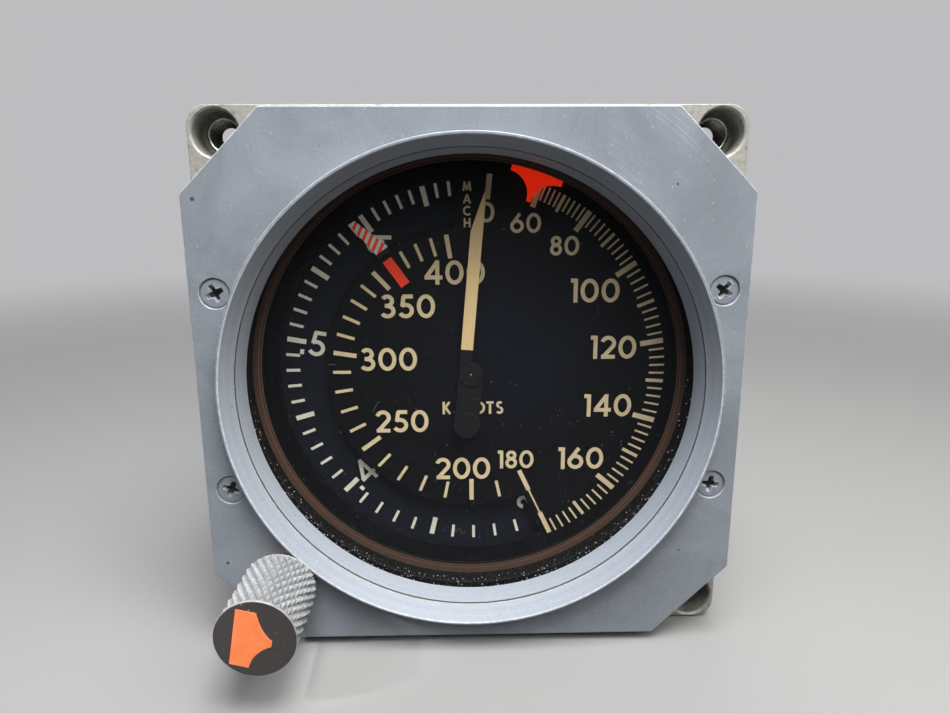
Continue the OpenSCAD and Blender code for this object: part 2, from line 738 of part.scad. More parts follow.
// The limit pointer is narrow at its outer end, and its arm runs in to a hub on its pipe
limit_tip_lo = -2.7;
limit_tip_hi = -0.7;
limit_root_lo = -2.1;
limit_root_hi = 3.3;
limit_arm_w = 2.2;
limit_root_l = 2;
limit_hub_r = 2.2;
limit_pipe_end = 0.6;
y_limit_pipe_back = y_limit_gear + gear_t + limit_pipe_end;
module limit_pointer() color("firebrick") difference() {
    union() {
        rotate([0, limit_angle, 0]) sheet(y_limit, limit_t)
            polygon([dial_point(limit_r, limit_tip_lo), dial_point(limit_r, limit_tip_hi),
                dial_point(limit_stripe_r, limit_root_hi),
                [limit_arm_w / 2, limit_stripe_r - limit_root_l], [limit_arm_w / 2, 0],
                [-limit_arm_w / 2, 0], [-limit_arm_w / 2, limit_stripe_r - limit_root_l],
                dial_point(limit_stripe_r, limit_root_lo)]);
        rod(y_limit, y_limit + limit_t, limit_hub_r);
    }
    rod(y_limit - over, y_limit + limit_t + over, limit_pipe_r + snug);
}

module limit_pipe() color("goldenrod") difference() {
    rod(y_limit, y_limit_pipe_back, limit_pipe_r);
    rod(y_limit - over, y_limit_pipe_back + over, limit_pipe_in_r);
}

module limit_gear() color("goldenrod") difference() {
    sheet(y_limit_gear, gear_t)
        polygon(gear_outline(limit_gear_teeth, gear_module, compass(alt_shaft) + 180 / limit_gear_teeth));
    rod(y_limit_gear - over, y_limit_gear + gear_t + over, limit_pipe_r + snug);
}

// The pointer's right edge runs straight out from its axis, and the blade lies to the left of that line
pointer_hub_h = 0.3;
pointer_tip_w = 0.3;
module airspeed_pointer() color("wheat") rotate([0, pointer_angle, 0]) difference() {
    union() {
        sheet(y_pointer, pointer_t) union() {
            polygon([[0, 0], [0, pointer_r], [-pointer_tip_w, pointer_r], [-pointer_w, pointer_shoulder_r],
                [-pointer_w, 0]]);
            translate([-pointer_hub_r, -pointer_tail]) square([2 * pointer_hub_r, pointer_tail]);
            translate([0, -pointer_tail]) circle(pointer_weight_r);
        }
        rod(y_pointer - pointer_hub_h, y_pointer + pointer_t + pointer_hub_h, pointer_hub_r);
    }
    rod(y_pointer, y_pointer + pointer_t + pointer_hub_h + over, staff_r + snug);
}

pinion_t = 2;
y_pinion = y_sector + gear_t / 2 - pinion_t / 2;
module pointer_staff() color("lightsteelblue") {
    rod(y_pointer, y_rear_plate_back, staff_r);
    sheet(y_pinion, pinion_t)
        polygon(gear_outline(pinion_teeth, gear_module, compass(speed_shaft) + 180 / pinion_teeth));
}

collet_r = 1.3;
collet_end = 0.1;
module hairspring_collet() color("goldenrod") difference() {
    rod(y_spring - collet_end, y_spring + spring_t + collet_end, collet_r);
    rod(y_spring - over, y_spring + spring_t + over, staff_r + snug);
}

// Flat spiral strip from just outside the collet out to its stud
spring_turns = 4;
spring_play = 0.2;
spring_in_r = collet_r + spring_play;
spring_out_r = 5;
spring_strip = 0.16;
spring_steps = 20 * spring_turns;
function spiral(k, out) = let (share = k / spring_steps)
    dial_point(spring_in_r + (spring_out_r - spring_in_r) * share + out, 360 * spring_turns * share);
module hairspring() color("steelblue") sheet(y_spring, spring_t)
    polygon(concat([for (k = [0:spring_steps]) spiral(k, 0)],
        [for (k = [spring_steps:-1:0]) spiral(k, spring_strip)]));

stud_r = 0.6;
stud_end = 0.2;
module hairspring_stud() color("silver") at([0, spring_out_r + spring_strip + stud_r + snug])
    rod(y_spring - stud_end, y_rear_plate, stud_r);

centre_bush_r = disk_pipe_r + run + bush_wall;
rock_bush_r = rock_shaft_r + run + bush_wall;
staff_bush_r = staff_r + run + bush_wall;

module front_plate() color("khaki") difference() {
    rod(y_plate, y_plate_back, front_plate_r);
    rod(y_plate - over, y_plate_back + over, centre_bush_r + snug);
    for (p = [speed_shaft, alt_shaft])
        at(p) rod(y_plate - over, y_plate_back + over, rock_bush_r + snug);
    at_pillars() rod(y_plate - over, y_plate_back + over, pillar_screw_r + snug);
    at_lugs(movement_screw_ring_r) rod(y_plate - over, y_plate_back + over, movement_screw_r + snug);
}

module rear_plate() color("khaki") difference() {
    rod(y_rear_plate, y_rear_plate_back, rear_plate_r);
    rod(y_rear_plate - over, y_rear_plate_back + over, staff_bush_r + snug);
    for (p = [speed_shaft, alt_shaft])
        at(p) rod(y_rear_plate - over, y_rear_plate_back + over, rock_bush_r + snug);
    at_pillars() rod(y_rear_plate - over, y_rear_plate_back + over, pillar_screw_r + snug);
    at_bracket_screws() rod(y_rear_plate - over, y_rear_plate_back + over, bracket_screw_r + snug);
}

module pillars() color("goldenrod") at_pillars() difference() {
    rod(y_plate_back, y_rear_plate, pillar_r);
    rod(y_plate_back - over, y_plate_back + screw_bite + loose, pillar_screw_r + snug);
    rod(y_rear_plate - screw_bite - loose, y_rear_plate + over, pillar_screw_r + snug);
}

module pillar_screws() color("silver") at_pillars() {
    screw(y_plate, -1, pillar_screw_r, plate_t + screw_bite, pillar_screw_head_r, screw_head_h);
    screw(y_rear_plate_back, 1, pillar_screw_r, plate_t + screw_bite, pillar_screw_head_r, screw_head_h);
}

module movement_screws() color("silver") at_lugs(movement_screw_ring_r) union()
    screw(y_plate, -1, movement_screw_r, plate_t + screw_bite, movement_screw_head_r, screw_head_h);

// Bush pressed in a plate, bored for a shaft of radius r
module bush(y, r) difference() {
    rod(y, y + plate_t, r + run + bush_wall);
    rod(y - over, y + plate_t + over, r + run);
}

module plate_bushes() color("peru") {
    bush(y_plate, disk_pipe_r);
    bush(y_rear_plate, staff_r);
    for (p = [speed_shaft, alt_shaft])
        at(p) {
            bush(y_plate, rock_shaft_r);
            bush(y_rear_plate, rock_shaft_r);
        }
}

// Toothed sector on a hub, with a window in its web
sector_hub_r = 2.6;
sector_rim = 2.2;
sector_web = 2.4;
sector_edge_a = 7;
module sector(y, n, a, lo, hi) difference() {
    union() {
        sheet(y, gear_t) polygon(sector_outline(n, gear_module, a, lo, hi));
        rod(y, y + gear_t, sector_hub_r);
    }
    sheet(y - over, gear_t + 2 * over) {
        rim_r = n * gear_module / 2 - sector_rim;
        a0 = a - lo + sector_edge_a;
        a1 = a + hi - sector_edge_a;
        polygon(concat(arc(sector_hub_r + sector_web, a1, a0), arc(rim_r, a0, a1)));
    }
    rod(y - over, y + gear_t + over, rock_shaft_r + snug);
}

rock_shaft_end = 0.4;
module rock_shaft() rod(y_plate, y_crank + crank_t + rock_shaft_end, rock_shaft_r);

// Crank with a pin: the arm points to compass angle a
crank_pin_end = 0.3;
module crank(a) {
    pin = dial_point(crank_arm, a);
    difference() {
        union() {
            rod(y_crank, y_crank + crank_t, crank_hub_r);
            rotate([0, a, 0]) translate([-crank_w / 2, y_crank, 0]) cube([crank_w, crank_t, crank_arm]);
            at(pin) rod(y_crank, y_crank + crank_t, crank_eye_r);
        }
        rod(y_crank - over, y_crank + crank_t + over, rock_shaft_r + snug);
    }
    at(pin) rod(y_capsule - eye_t / 2 - crank_pin_end, y_crank, crank_pin_r);
}

// Link along Z from a pad at z0 to a slotted eye whose middle is at z1
pad_h = 1;
slot_travel = 0.4;
eye_wall = 0.7;
module link(z0, z1) {
    up = z1 > z0 ? 1 : -1;
    slot_w = 2 * (crank_pin_r + crank_pin_play);
    slot_l = slot_w + slot_travel;
    eye_h = slot_w + 2 * eye_wall;
    translate([0, y_capsule, 0]) {
        translate([0, 0, min(z0, z0 + up * pad_h)]) cylinder(r = stem_r, h = pad_h);
        translate([0, 0, min(z0 + up * pad_h, z1 - up * eye_h / 2)])
            cylinder(r = link_r, h = abs(z1 - z0) - pad_h - eye_h / 2);
        translate([-eye_w / 2, -eye_t / 2, z1 - eye_h / 2]) difference() {
            cube([eye_w, eye_t, eye_h]);
            translate([(eye_w - slot_l) / 2, -over, (eye_h - slot_w) / 2])
                cube([slot_l, eye_t + 2 * over, slot_w]);
        }
    }
}

speed_arm_a = 90 + speed_swing / 2;
alt_arm_a = 90 - alt_mid;
link_gap = 0.05;
link_foot_z = capsule_z - capsule_boss_h - link_gap;

module airspeed_shaft() color("lightsteelblue") at(speed_shaft) rock_shaft();
module airspeed_sector() color("goldenrod") at(speed_shaft)
    sector(y_sector, speed_sector_teeth, compass(-speed_shaft), sector_spare, speed_swing + sector_spare);
module airspeed_crank() color("silver") at(speed_shaft) crank(speed_arm_a);
module airspeed_link() color("silver") at([capsule_x, 0])
    link(-link_foot_z, speed_shaft_z + crank_arm * cos(speed_arm_a));

module altitude_shaft() color("lightsteelblue") at(alt_shaft) rock_shaft();
module disk_sector() color("goldenrod") at(alt_shaft)
    sector(y_disk_gear, disk_sector_teeth, compass(-alt_shaft), alt_high + sector_spare,
        alt_low + sector_spare);
module limit_sector() color("goldenrod") at(alt_shaft)
    sector(y_limit_gear, limit_sector_teeth, compass(-alt_shaft), alt_high + sector_spare,
        alt_low + sector_spare);
module altitude_crank() color("silver") at(alt_shaft) crank(alt_arm_a);
module altitude_link() color("silver") at([-capsule_x, 0])
    link(link_foot_z, alt_shaft_z + crank_arm * cos(alt_arm_a));

// Height of a capsule's skin above its middle plane: it falls to the rim, with waves along the way
waves = 3;
wave_h = 0.3;
rim_h = 0.8;
function skin(r) = let (s = r / capsule_r)
    rim_h + (capsule_h / 2 - rim_h) * (1 - s) + wave_h * (1 - cos(360 * waves * s)) / 2;

// Points of a skin from radius r0 to r1, moved in by inset, on the upper side or mirrored to the lower side
function skin_line(r0, r1, inset, side, n = 24) =
    [for (k = [0:n]) let (r = r0 + (r1 - r0) * k / n) [r, side * (skin(r) - inset)]];

// Pressure capsule about Z, with its bored stem below and its boss above
module capsule() rotate_extrude() {
    stem_end = -capsule_h / 2 - stem_h - shelf_t;
    boss_end = capsule_h / 2 + capsule_boss_h;
    hollow_r = capsule_r - 2 * capsule_skin;
    polygon(concat([[stem_bore_r, stem_end], [stem_r, stem_end]], skin_line(stem_r, capsule_r, 0, -1),
        skin_line(capsule_r, stem_r, 0, 1), [[stem_r, boss_end], [0, boss_end]],
        skin_line(0, hollow_r, capsule_skin, 1), skin_line(hollow_r, stem_bore_r, capsule_skin, -1)));
}

capsule_mid_z = capsule_z + capsule_h / 2;
module airspeed_capsule() color("burlywood") translate([capsule_x, y_capsule, -capsule_mid_z]) capsule();
module aneroid_capsule() color("burlywood") translate([-capsule_x, y_capsule, capsule_mid_z])
    mirror([0, 0, 1]) capsule();

module at_bracket_screws() for (s = [-1, 1], z = bracket_screw_z) at([s * -capsule_x, s * z]) children();

// Bracket with a foot on the rear plate and a shelf for the capsule's stem: s is 1 above the axis, -1 below
module bracket(s) at([-s * capsule_x, 0]) difference() {
    union() {
        translate([-bracket_w / 2, y_rear_plate_back, min(s * foot_top_z, s * (shelf_z + shelf_t))])
            cube([bracket_w, foot_t, shelf_z + shelf_t - foot_top_z]);
        translate([-bracket_w / 2, y_rear_plate_back, min(s * shelf_z, s * (shelf_z + shelf_t))])
            cube([bracket_w, y_capsule + bracket_w / 2 - y_rear_plate_back, shelf_t]);
    }
    translate([0, y_capsule, min(s * shelf_z, s * (shelf_z + shelf_t)) - over])
        cylinder(r = stem_r + snug, h = shelf_t + 2 * over);
    for (z = bracket_screw_z)
        at([0, s * z])
            rod(y_rear_plate_back - over, y_rear_plate_back + foot_t + over, bracket_screw_r + snug);
}
module airspeed_bracket() color("khaki") bracket(-1);
module aneroid_bracket() color("khaki") bracket(1);

module bracket_screws() color("silver") at_bracket_screws() union()
    screw(y_rear_plate_back + foot_t, 1, bracket_screw_r, foot_t + plate_t, bracket_screw_head_r,
        screw_head_h);

// The union under the airspeed capsule's shelf turns the pitot pressure towards the rear port
module pitot_union() color("goldenrod") at([port_x, port_z]) difference() {
    translate([-union_size / 2, y_capsule - union_size / 2, -union_h / 2])
        cube([union_size, union_size, union_h]);
    rod(y_capsule, y_capsule + union_size, tube_r + snug);
    translate([0, y_capsule, 0]) cylinder(r = stem_bore_r, h = union_h);
}

tube_wall = 0.4;
tube_seat = 1;
module pitot_tube() color("peru") at([port_x, port_z]) difference() {
    rod(y_capsule + stem_bore_r, y_rear + tube_seat, tube_r);
    rod(y_capsule - over, y_rear + tube_seat + over, tube_r - tube_wall);
}

case_flange();
case_barrel();
mount_inserts();
bezel();
bezel_screws();
bezel_gasket();
inner_ring();
glass();
glass_gasket();
spacer_ring();
bug_ring();
bug();
knob();
knob_face();
knob_set_screw();
knob_shaft();
knob_bush();
knob_seal();
knob_pinion();
dial();
dial_screws();
mach_disk();
disk_pipe();
disk_gear();
limit_pointer();
limit_pipe();
limit_gear();
airspeed_pointer();
pointer_staff();
hairspring();
hairspring_collet();
hairspring_stud();
front_plate();
rear_plate();
pillars();
pillar_screws();
movement_screws();
plate_bushes();
airspeed_shaft();
airspeed_sector();
airspeed_crank();
airspeed_link();
airspeed_capsule();
airspeed_bracket();
altitude_shaft();
disk_sector();
limit_sector();
altitude_crank();
altitude_link();
aneroid_capsule();
aneroid_bracket();
bracket_screws();
pitot_union();
pitot_tube();
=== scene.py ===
import math

import bmesh
import bpy
import numpy as np
from mathutils import Matrix, Vector
from mathutils.geometry import tessellate_polygon


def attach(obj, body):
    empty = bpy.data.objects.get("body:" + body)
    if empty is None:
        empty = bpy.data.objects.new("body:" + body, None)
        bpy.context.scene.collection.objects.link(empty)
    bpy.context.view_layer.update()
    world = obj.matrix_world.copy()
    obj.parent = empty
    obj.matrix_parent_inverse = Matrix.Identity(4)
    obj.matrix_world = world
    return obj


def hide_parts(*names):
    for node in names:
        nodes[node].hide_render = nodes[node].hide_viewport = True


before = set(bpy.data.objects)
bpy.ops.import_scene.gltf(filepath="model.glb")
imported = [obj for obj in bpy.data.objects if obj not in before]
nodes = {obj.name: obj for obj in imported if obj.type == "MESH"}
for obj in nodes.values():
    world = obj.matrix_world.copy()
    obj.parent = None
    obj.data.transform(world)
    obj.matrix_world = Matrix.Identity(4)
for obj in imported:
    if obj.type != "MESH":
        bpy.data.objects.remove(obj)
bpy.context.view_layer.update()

# CASE FLANGE
# The square front flange of the case, cast in aluminium and left bare, with three bored ears.
# Its fourth corner is cut off to make room for the setting knob.
MM = 0.001
FLANGE_FRONT, FLANGE_BACK = -8.0, 0.0
FLANGE_HALF_X, FLANGE_HALF_Z = 41.7, 42.3
FLANGE_CUT = 10.5
EAR_X, EAR_Z = 37.55, 38.3
EARS = np.array([[-EAR_X, EAR_Z], [EAR_X, EAR_Z], [EAR_X, -EAR_Z]])
EAR_RECESS_R, RECESS_FLOOR, INSERT_R = 3.5, -3.5, 2.7
FLANGE_ROUND, CUT_ROUND, FLANGE_EDGE, EDGE_FLAT = 3.0, 1.2, 0.15, 0.03
BODY_R, CAVITY_R, BORE_STEP, BORE_FLOOR = 39.0, 36.5, -3.15, -1.25


def colour(code):
    """sRGB hex to linear RGBA: the sRGB curve undone channel by channel."""
    channels = np.array([int(code[i : i + 2], 16) for i in (1, 3, 5)]) / 255
    low, high = channels / 12.92, ((channels + 0.055) / 1.055) ** 2.4
    return (*np.where(channels <= 0.04045, low, high).tolist(), 1.0)


def node(tree, kind, inputs=None, **settings):
    """Adds one shader node: settings are its own properties, and inputs are values, hex colours, other nodes'
    sockets, or other nodes, which give their first output in use."""
    made = tree.nodes.new("ShaderNode" + kind)
    for key, value in settings.items():
        setattr(made, key, value)
    for socket, value in (inputs or {}).items():
        if isinstance(value, bpy.types.Node):
            value = next(output for output in value.outputs if output.enabled)
        if isinstance(value, bpy.types.NodeSocket):
            tree.links.new(value, made.inputs[socket])
        else:
            made.inputs[socket].default_value = colour(value) if isinstance(value, str) else value
    return made


def new_tree(name):
    """An empty material of that name, its node tree, and a socket that gives the place on the object in metres."""
    made = bpy.data.materials.new(name)
    made.use_nodes = True
    made.node_tree.nodes.clear()
    return made, made.node_tree, node(made.node_tree, "TexCoord").outputs["Object"]


def surface(tree, tone, pattern, rough, relief=None, more=None):
    """Ends a material: its base colour from tone, its roughness going from one value to another as a pattern goes
    from 0.3 to 0.7, its relief, as a strength and a depth in millimetres, from that pattern, and more sockets."""
    reach = {"From Min": 0.3, "From Max": 0.7, "To Min": rough[0], "To Max": rough[1]}
    sockets = {"Base Color": tone, "Roughness": node(tree, "MapRange", {"Value": pattern, **reach}), **(more or {})}
    if relief:
        strength, depth = relief
        sockets["Normal"] = node(tree, "Bump", {"Strength": strength, "Distance": depth * MM, "Height": pattern})
    node(tree, "OutputMaterial", {"Surface": node(tree, "BsdfPrincipled", sockets)})


def circle(radius, count=128, centre=(0.0, 0.0)):
    """Points (x, z) evenly around a circle."""
    turn = np.linspace(0, 2 * np.pi, count, endpoint=False)
    return np.stack([centre[0] + radius * np.sin(turn), centre[1] + radius * np.cos(turn)], 1)


def rounded(corners, radii, count=9):
    """A polygon whose corners are arcs: each arc starts and ends where it touches the two edges."""
    corners = np.asarray(corners, float)
    radii = np.broadcast_to(np.asarray(radii, float), len(corners))
    before, after = np.roll(corners, 1, 0) - corners, np.roll(corners, -1, 0) - corners
    before /= np.linalg.norm(before, axis=1, keepdims=True)
    after /= np.linalg.norm(after, axis=1, keepdims=True)
    half = np.arccos(np.clip((before * after).sum(1), -1, 1)) / 2
    bisector = before + after
    bisector /= np.linalg.norm(bisector, axis=1, keepdims=True)
    centre = corners + bisector * (radii / np.sin(half))[:, None]
    first = corners + before * (radii / np.tan(half))[:, None] - centre
    last = corners + after * (radii / np.tan(half))[:, None] - centre
    start = np.arctan2(first[:, 1], first[:, 0])
    sweep = (np.arctan2(last[:, 1], last[:, 0]) - start + np.pi) % (2 * np.pi) - np.pi
    turn = start[:, None] + sweep[:, None] * np.linspace(0, 1, count)
    arc = centre[:, None] + radii[:, None, None] * np.stack([np.cos(turn), np.sin(turn)], 2)
    return arc.reshape(-1, 2)


def piece(name, points, faces, body, material, sharp=40, wear=None, slot=None):
    """A mesh object at the origin from points in millimetres, faces turned outwards, riding on a body."""
    mesh = bpy.data.meshes.new(name)
    mesh.from_pydata((np.asarray(points) * MM).tolist(), [], [list(face) for face in faces])
    if wear is not None:
        mesh.attributes.new("edge", "FLOAT", "POINT").data.foreach_set("value", np.asarray(wear, np.float32))
    shell = bmesh.new()
    shell.from_mesh(mesh)
    bmesh.ops.remove_doubles(shell, verts=shell.verts, dist=1e-7)
    bmesh.ops.recalc_face_normals(shell, faces=shell.faces)
    shell.to_mesh(mesh)
    shell.free()
    mesh.shade_smooth()
    mesh.set_sharp_from_angle(angle=math.radians(sharp))
    made = bpy.data.objects.new(name, mesh)
    bpy.context.scene.collection.objects.link(made)
    made.data.materials.append(material)
    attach(made, body)
    return made


def grid_faces(rows, columns, wrap_rows=True, start=0):
    """Quads of a grid numbered row by row; rows close on themselves if wrapped."""
    row = np.arange(rows if wrap_rows else rows - 1)[:, None]
    column = np.arange(columns - 1)[None, :]
    after = (row + 1) % rows
    corners = [row * columns + column, after * columns + column, after * columns + column + 1,
        row * columns + column + 1]
    return (np.stack(np.broadcast_arrays(*corners), 2).reshape(-1, 4) + start).tolist()


def plate(boundaries):
    """A plate with holes. Each boundary is a closed line and a profile of (inset, y, wear): every point of the line
    moves along its mitred normal into the plate by the inset. Triangles close the first and last profile points."""
    points, faces, wear, fronts, backs, first_ids, last_ids = [], [], [], [], [], [], []
    start = 0
    for order, (line, profile) in enumerate(boundaries):
        profile = np.asarray(profile, float)
        edge = np.roll(line, -1, 0) - line
        edge /= np.linalg.norm(edge, axis=1, keepdims=True)
        area = (line[:, 0] * np.roll(line[:, 1], -1) - line[:, 1] * np.roll(line[:, 0], -1)).sum()
        side = np.sign(area) * (1 if order == 0 else -1)
        normal = np.stack([-edge[:, 1], edge[:, 0]], 1) * side
        previous = np.roll(normal, 1, 0)
        mitre = (normal + previous) / (1 + (normal * previous).sum(1, keepdims=True))
        flat = line[:, None] + mitre[:, None] * profile[None, :, :1]
        count, steps = flat.shape[:2]
        height = np.broadcast_to(profile[None, :, 1:2], (count, steps, 1))
        points.append(np.concatenate([flat[..., :1], height, flat[..., 1:]], 2).reshape(-1, 3))
        wear.append(np.tile(profile[:, 2], count))
        faces += grid_faces(count, steps, start=start)
        fronts.append([Vector((x, z, 0)) for x, z in flat[:, 0]])
        backs.append([Vector((x, z, 0)) for x, z in flat[:, -1]])
        first_ids.append(start + np.arange(count) * steps)
        last_ids.append(start + np.arange(count) * steps + steps - 1)
        start += count * steps
    for loops, ids in ((fronts, first_ids), (backs, last_ids)):
        faces += np.concatenate(ids)[np.array(tessellate_polygon(loops))].tolist()
    return np.concatenate(points), faces, np.concatenate(wear)


def round_edge(inset, y, radius, toward, support=0.05, count=5):
    """Profile of a rounded front edge: a flat strip, then a quarter circle from the face round to the side."""
    turn = np.linspace(0, np.pi / 2, count)
    arc = np.stack([inset + radius * (1 - np.sin(turn)), y + toward * radius * (1 - np.cos(turn)), np.sin(2 * turn)], 1)
    return np.concatenate([[[inset + radius + support, y, 0]], arc])


def chain(*parts):
    """Profiles joined end to end."""
    return np.concatenate([np.atleast_2d(np.asarray(part, float)) for part in parts])


# Cast aluminium: sand texture of about 0.4 mm left by the mould, dull and pale, darker down the ears'
# recesses, where the mesh's edge value falls to -1.
cast_aluminium, tree, place = new_tree("cast_aluminium")
sand = node(tree, "TexNoise", {"Vector": place, "Scale": 1 / (0.9 * MM), "Detail": 6.0, "Roughness": 0.7})
stain = node(tree, "TexNoise", {"Vector": place, "Scale": 1 / (9 * MM), "Detail": 3.0})
pits = node(tree, "TexVoronoi", {"Vector": place, "Scale": 1 / (1.6 * MM), "Randomness": 1.0})
pit = node(tree, "MapRange", {"Value": pits, "From Min": 0.05, "From Max": 0.3, "To Min": 0.55, "To Max": 1.0})
shade = node(tree, "Mix", {0: stain, 6: "#A5A39A", 7: "#CBC8BE"}, data_type="RGBA")
grain = node(tree, "MapRange", {"Value": sand, "From Min": 0.3, "From Max": 0.7, "To Min": 0.66, "To Max": 1.14})
both = node(tree, "Math", {0: grain, 1: pit}, operation="MULTIPLY")
tone = node(tree, "VectorMath", {0: shade, "Scale": both}, operation="SCALE")
edge = node(tree, "Attribute", attribute_name="edge", attribute_type="GEOMETRY")
deep = node(tree, "MapRange", {"Value": edge.outputs["Fac"], "From Min": 0.0, "From Max": -1.0, "To Max": 0.65})
darker_in_recesses = node(tree, "Mix", {0: deep, 6: tone, 7: "#37382F"}, data_type="RGBA")
surface(tree, darker_in_recesses, sand, (0.6, 0.42), (0.55, 0.08), {"Metallic": 0.4})

flange_corners = [
    [-FLANGE_HALF_X, FLANGE_HALF_Z], [FLANGE_HALF_X, FLANGE_HALF_Z], [FLANGE_HALF_X, -FLANGE_HALF_Z],
    [-FLANGE_HALF_X + FLANGE_CUT, -FLANGE_HALF_Z], [-FLANGE_HALF_X, -FLANGE_HALF_Z + FLANGE_CUT],
]
flange_line = rounded(flange_corners, [FLANGE_ROUND] * 3 + [CUT_ROUND] * 2)
flange_edge = chain(round_edge(0, FLANGE_FRONT, FLANGE_EDGE, 1, EDGE_FLAT),
    round_edge(0, FLANGE_BACK, FLANGE_EDGE, -1, EDGE_FLAT)[::-1])
flange_edge[:, 2] = 0
recess = EAR_RECESS_R - INSERT_R
ear_profile = [
    [recess + 0.3, FLANGE_FRONT, 0], [recess + 0.28, FLANGE_FRONT, 0], [recess + 0.02, FLANGE_FRONT + 0.26, 0],
    [recess, FLANGE_FRONT + 0.32, -0.3], [recess, RECESS_FLOOR - 0.3, -1], [recess - 0.2, RECESS_FLOOR, -1],
    [0.02, RECESS_FLOOR, -1], [0.02, -0.3, 0], [0.3, 0, 0], [0.6, 0, 0],
]
bore_profile = [
    [3, FLANGE_FRONT, 0], [2, FLANGE_FRONT, 0], [2, BORE_STEP, 0], [1.5, BORE_STEP, 0],
    [1.5, BORE_FLOOR, 0], [0, BORE_FLOOR, 0], [0, 0, 0], [1, 0, 0],
]
ear_lines = [(circle(INSERT_R, 72, ear), ear_profile) for ear in EARS]
flange_lines = [(flange_line, flange_edge), (circle(CAVITY_R, 192), bore_profile), *ear_lines]
flange_points, flange_faces, flange_wear = plate(flange_lines)
flange = piece("case_flange_casting", flange_points, flange_faces, "case_body", cast_aluminium, wear=flange_wear,
    slot="cast_aluminium")
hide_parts("case_flange")

# CASE BARREL
# The round body of the case, turned from the same casting, closed at the rear by its own wall.
# Two bosses on that wall are tapped for the pitot and static lines.
BARREL_LENGTH, BARREL_ROUND, REAR_WALL, BOSS_R, BOSS_END, BOSS_FOOT = 91.0, 1.2, 88.0, 7.5, 97.0, 1.0
PORT_R, PORT_FLOOR, PORT_X, PORT_Z, TUBE_HOLE_R = 4.33, 89.0, 10.0, -27.0, 1.22
PORT_PITCH, PORT_CUT = 0.94, 0.45


def thread(inset, y0, y1, pitch, depth):
    """Profile of a cut thread: a triangle wave of that pitch, from y0 to y1, cut into the wall by depth."""
    turns = int(abs(y1 - y0) / pitch)
    y = np.linspace(y0, y1, 2 * turns + 1)
    cut = depth * (np.arange(2 * turns + 1) % 2)
    return np.stack([inset + cut, y, np.zeros_like(y)], 1)


# Turned aluminium: fine tool lines around the barrel, about 0.25 mm apart, over a dull grey skin.
turned_aluminium, tree, place = new_tree("turned_aluminium")
split = node(tree, "SeparateXYZ", {0: place})
lathe = node(tree, "TexNoise", {"W": split.outputs[1], "Scale": 1 / (0.5 * MM), "Detail": 3.0}, noise_dimensions="1D")
stain = node(tree, "TexNoise", {"Vector": place, "Scale": 1 / (14 * MM), "Detail": 5.0, "Roughness": 0.6})
scuffs = node(tree, "TexNoise", {"Vector": place, "Scale": 1 / (2.5 * MM), "Detail": 8.0, "Roughness": 0.75})
marks = node(tree, "MapRange", {"Value": scuffs, "From Min": 0.6, "From Max": 0.68})
shade = node(tree, "Mix", {0: stain, 6: "#8C8D8A", 7: "#ACADA7"}, data_type="RGBA")
worn = node(tree, "Mix", {0: marks, 6: shade, 7: "#C2C1BC"}, data_type="RGBA")
bump = node(tree, "Bump", {"Strength": 0.35, "Distance": 0.03 * MM, "Height": lathe})
surface(tree, worn, stain, (0.72, 0.58), more={"Metallic": 0.35, "Normal": bump})

barrel_profile = chain(
    round_edge(0, BARREL_LENGTH, BARREL_ROUND, -1), [[0, 60, 0], [0, 30, 0], [0, 0, 0]],
    [[BODY_R - CAVITY_R, 0, 0], [BODY_R - CAVITY_R, REAR_WALL, 0], [BODY_R - CAVITY_R + 1, REAR_WALL, 0]],
)
turn = np.linspace(0, np.pi / 2, 6)
boss_wall = BOSS_R - PORT_R
foot_in, foot_up = BOSS_FOOT * (1 - np.sin(turn)), BOSS_FOOT * (1 - np.cos(turn))
boss_foot = np.stack([boss_wall + foot_in, BARREL_LENGTH + foot_up, 0 * turn], 1)
port_profile = chain(
    [[boss_wall + 1.5, BARREL_LENGTH, 0]], boss_foot, round_edge(boss_wall, BOSS_END, 0.4, -1)[:0:-1],
    [[0.9, BOSS_END, 0], [0.6, BOSS_END, 1]], thread(0, BOSS_END - 0.6, PORT_FLOOR + 0.4, PORT_PITCH, PORT_CUT),
    [[0, PORT_FLOOR, 0], [TUBE_HOLE_R - PORT_R, PORT_FLOOR, 0], [TUBE_HOLE_R - PORT_R, REAR_WALL, 0]],
)
ports = [(circle(PORT_R, 72, (x, PORT_Z)), port_profile) for x in (-PORT_X, PORT_X)]
barrel = piece("case_barrel_casting", *plate([(circle(BODY_R, 256), barrel_profile), *ports])[:2],
    "case_body", turned_aluminium, slot="cast_aluminium")
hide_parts("case_barrel")

# EAR INSERTS
# Steel thread inserts pressed into the three ears for the panel screws.
# They are zinc plated, and their threads catch the light at the bottom of the ears' recesses.
INSERT_THREAD_R, INSERT_MOUTH_R, INSERT_TURNS, INSERT_CUT = 1.5, 2.48, 7, 0.2


def turned(profile, count=128, centre=(0.0, 0.0)):
    """A solid of revolution about Y: a closed profile of (radius, y) carried around a circle."""
    profile = np.asarray(profile, float)
    turn = np.linspace(0, 2 * np.pi, count, endpoint=False)[:, None]
    x, z = centre[0] + profile[:, 0] * np.sin(turn), centre[1] + profile[:, 0] * np.cos(turn)
    y = np.broadcast_to(profile[:, 1], x.shape)
    return np.stack([x, y, z], 2).reshape(-1, 3), grid_faces(count, len(profile))


def joined(parts):
    """Several meshes as one: points stacked, and faces counted on from the points before them."""
    starts = np.cumsum([0] + [len(points) for points, _ in parts])
    faces = [[i + start for i in face] for (_, made), start in zip(parts, starts) for face in made]
    return np.concatenate([points for points, _ in parts]), faces


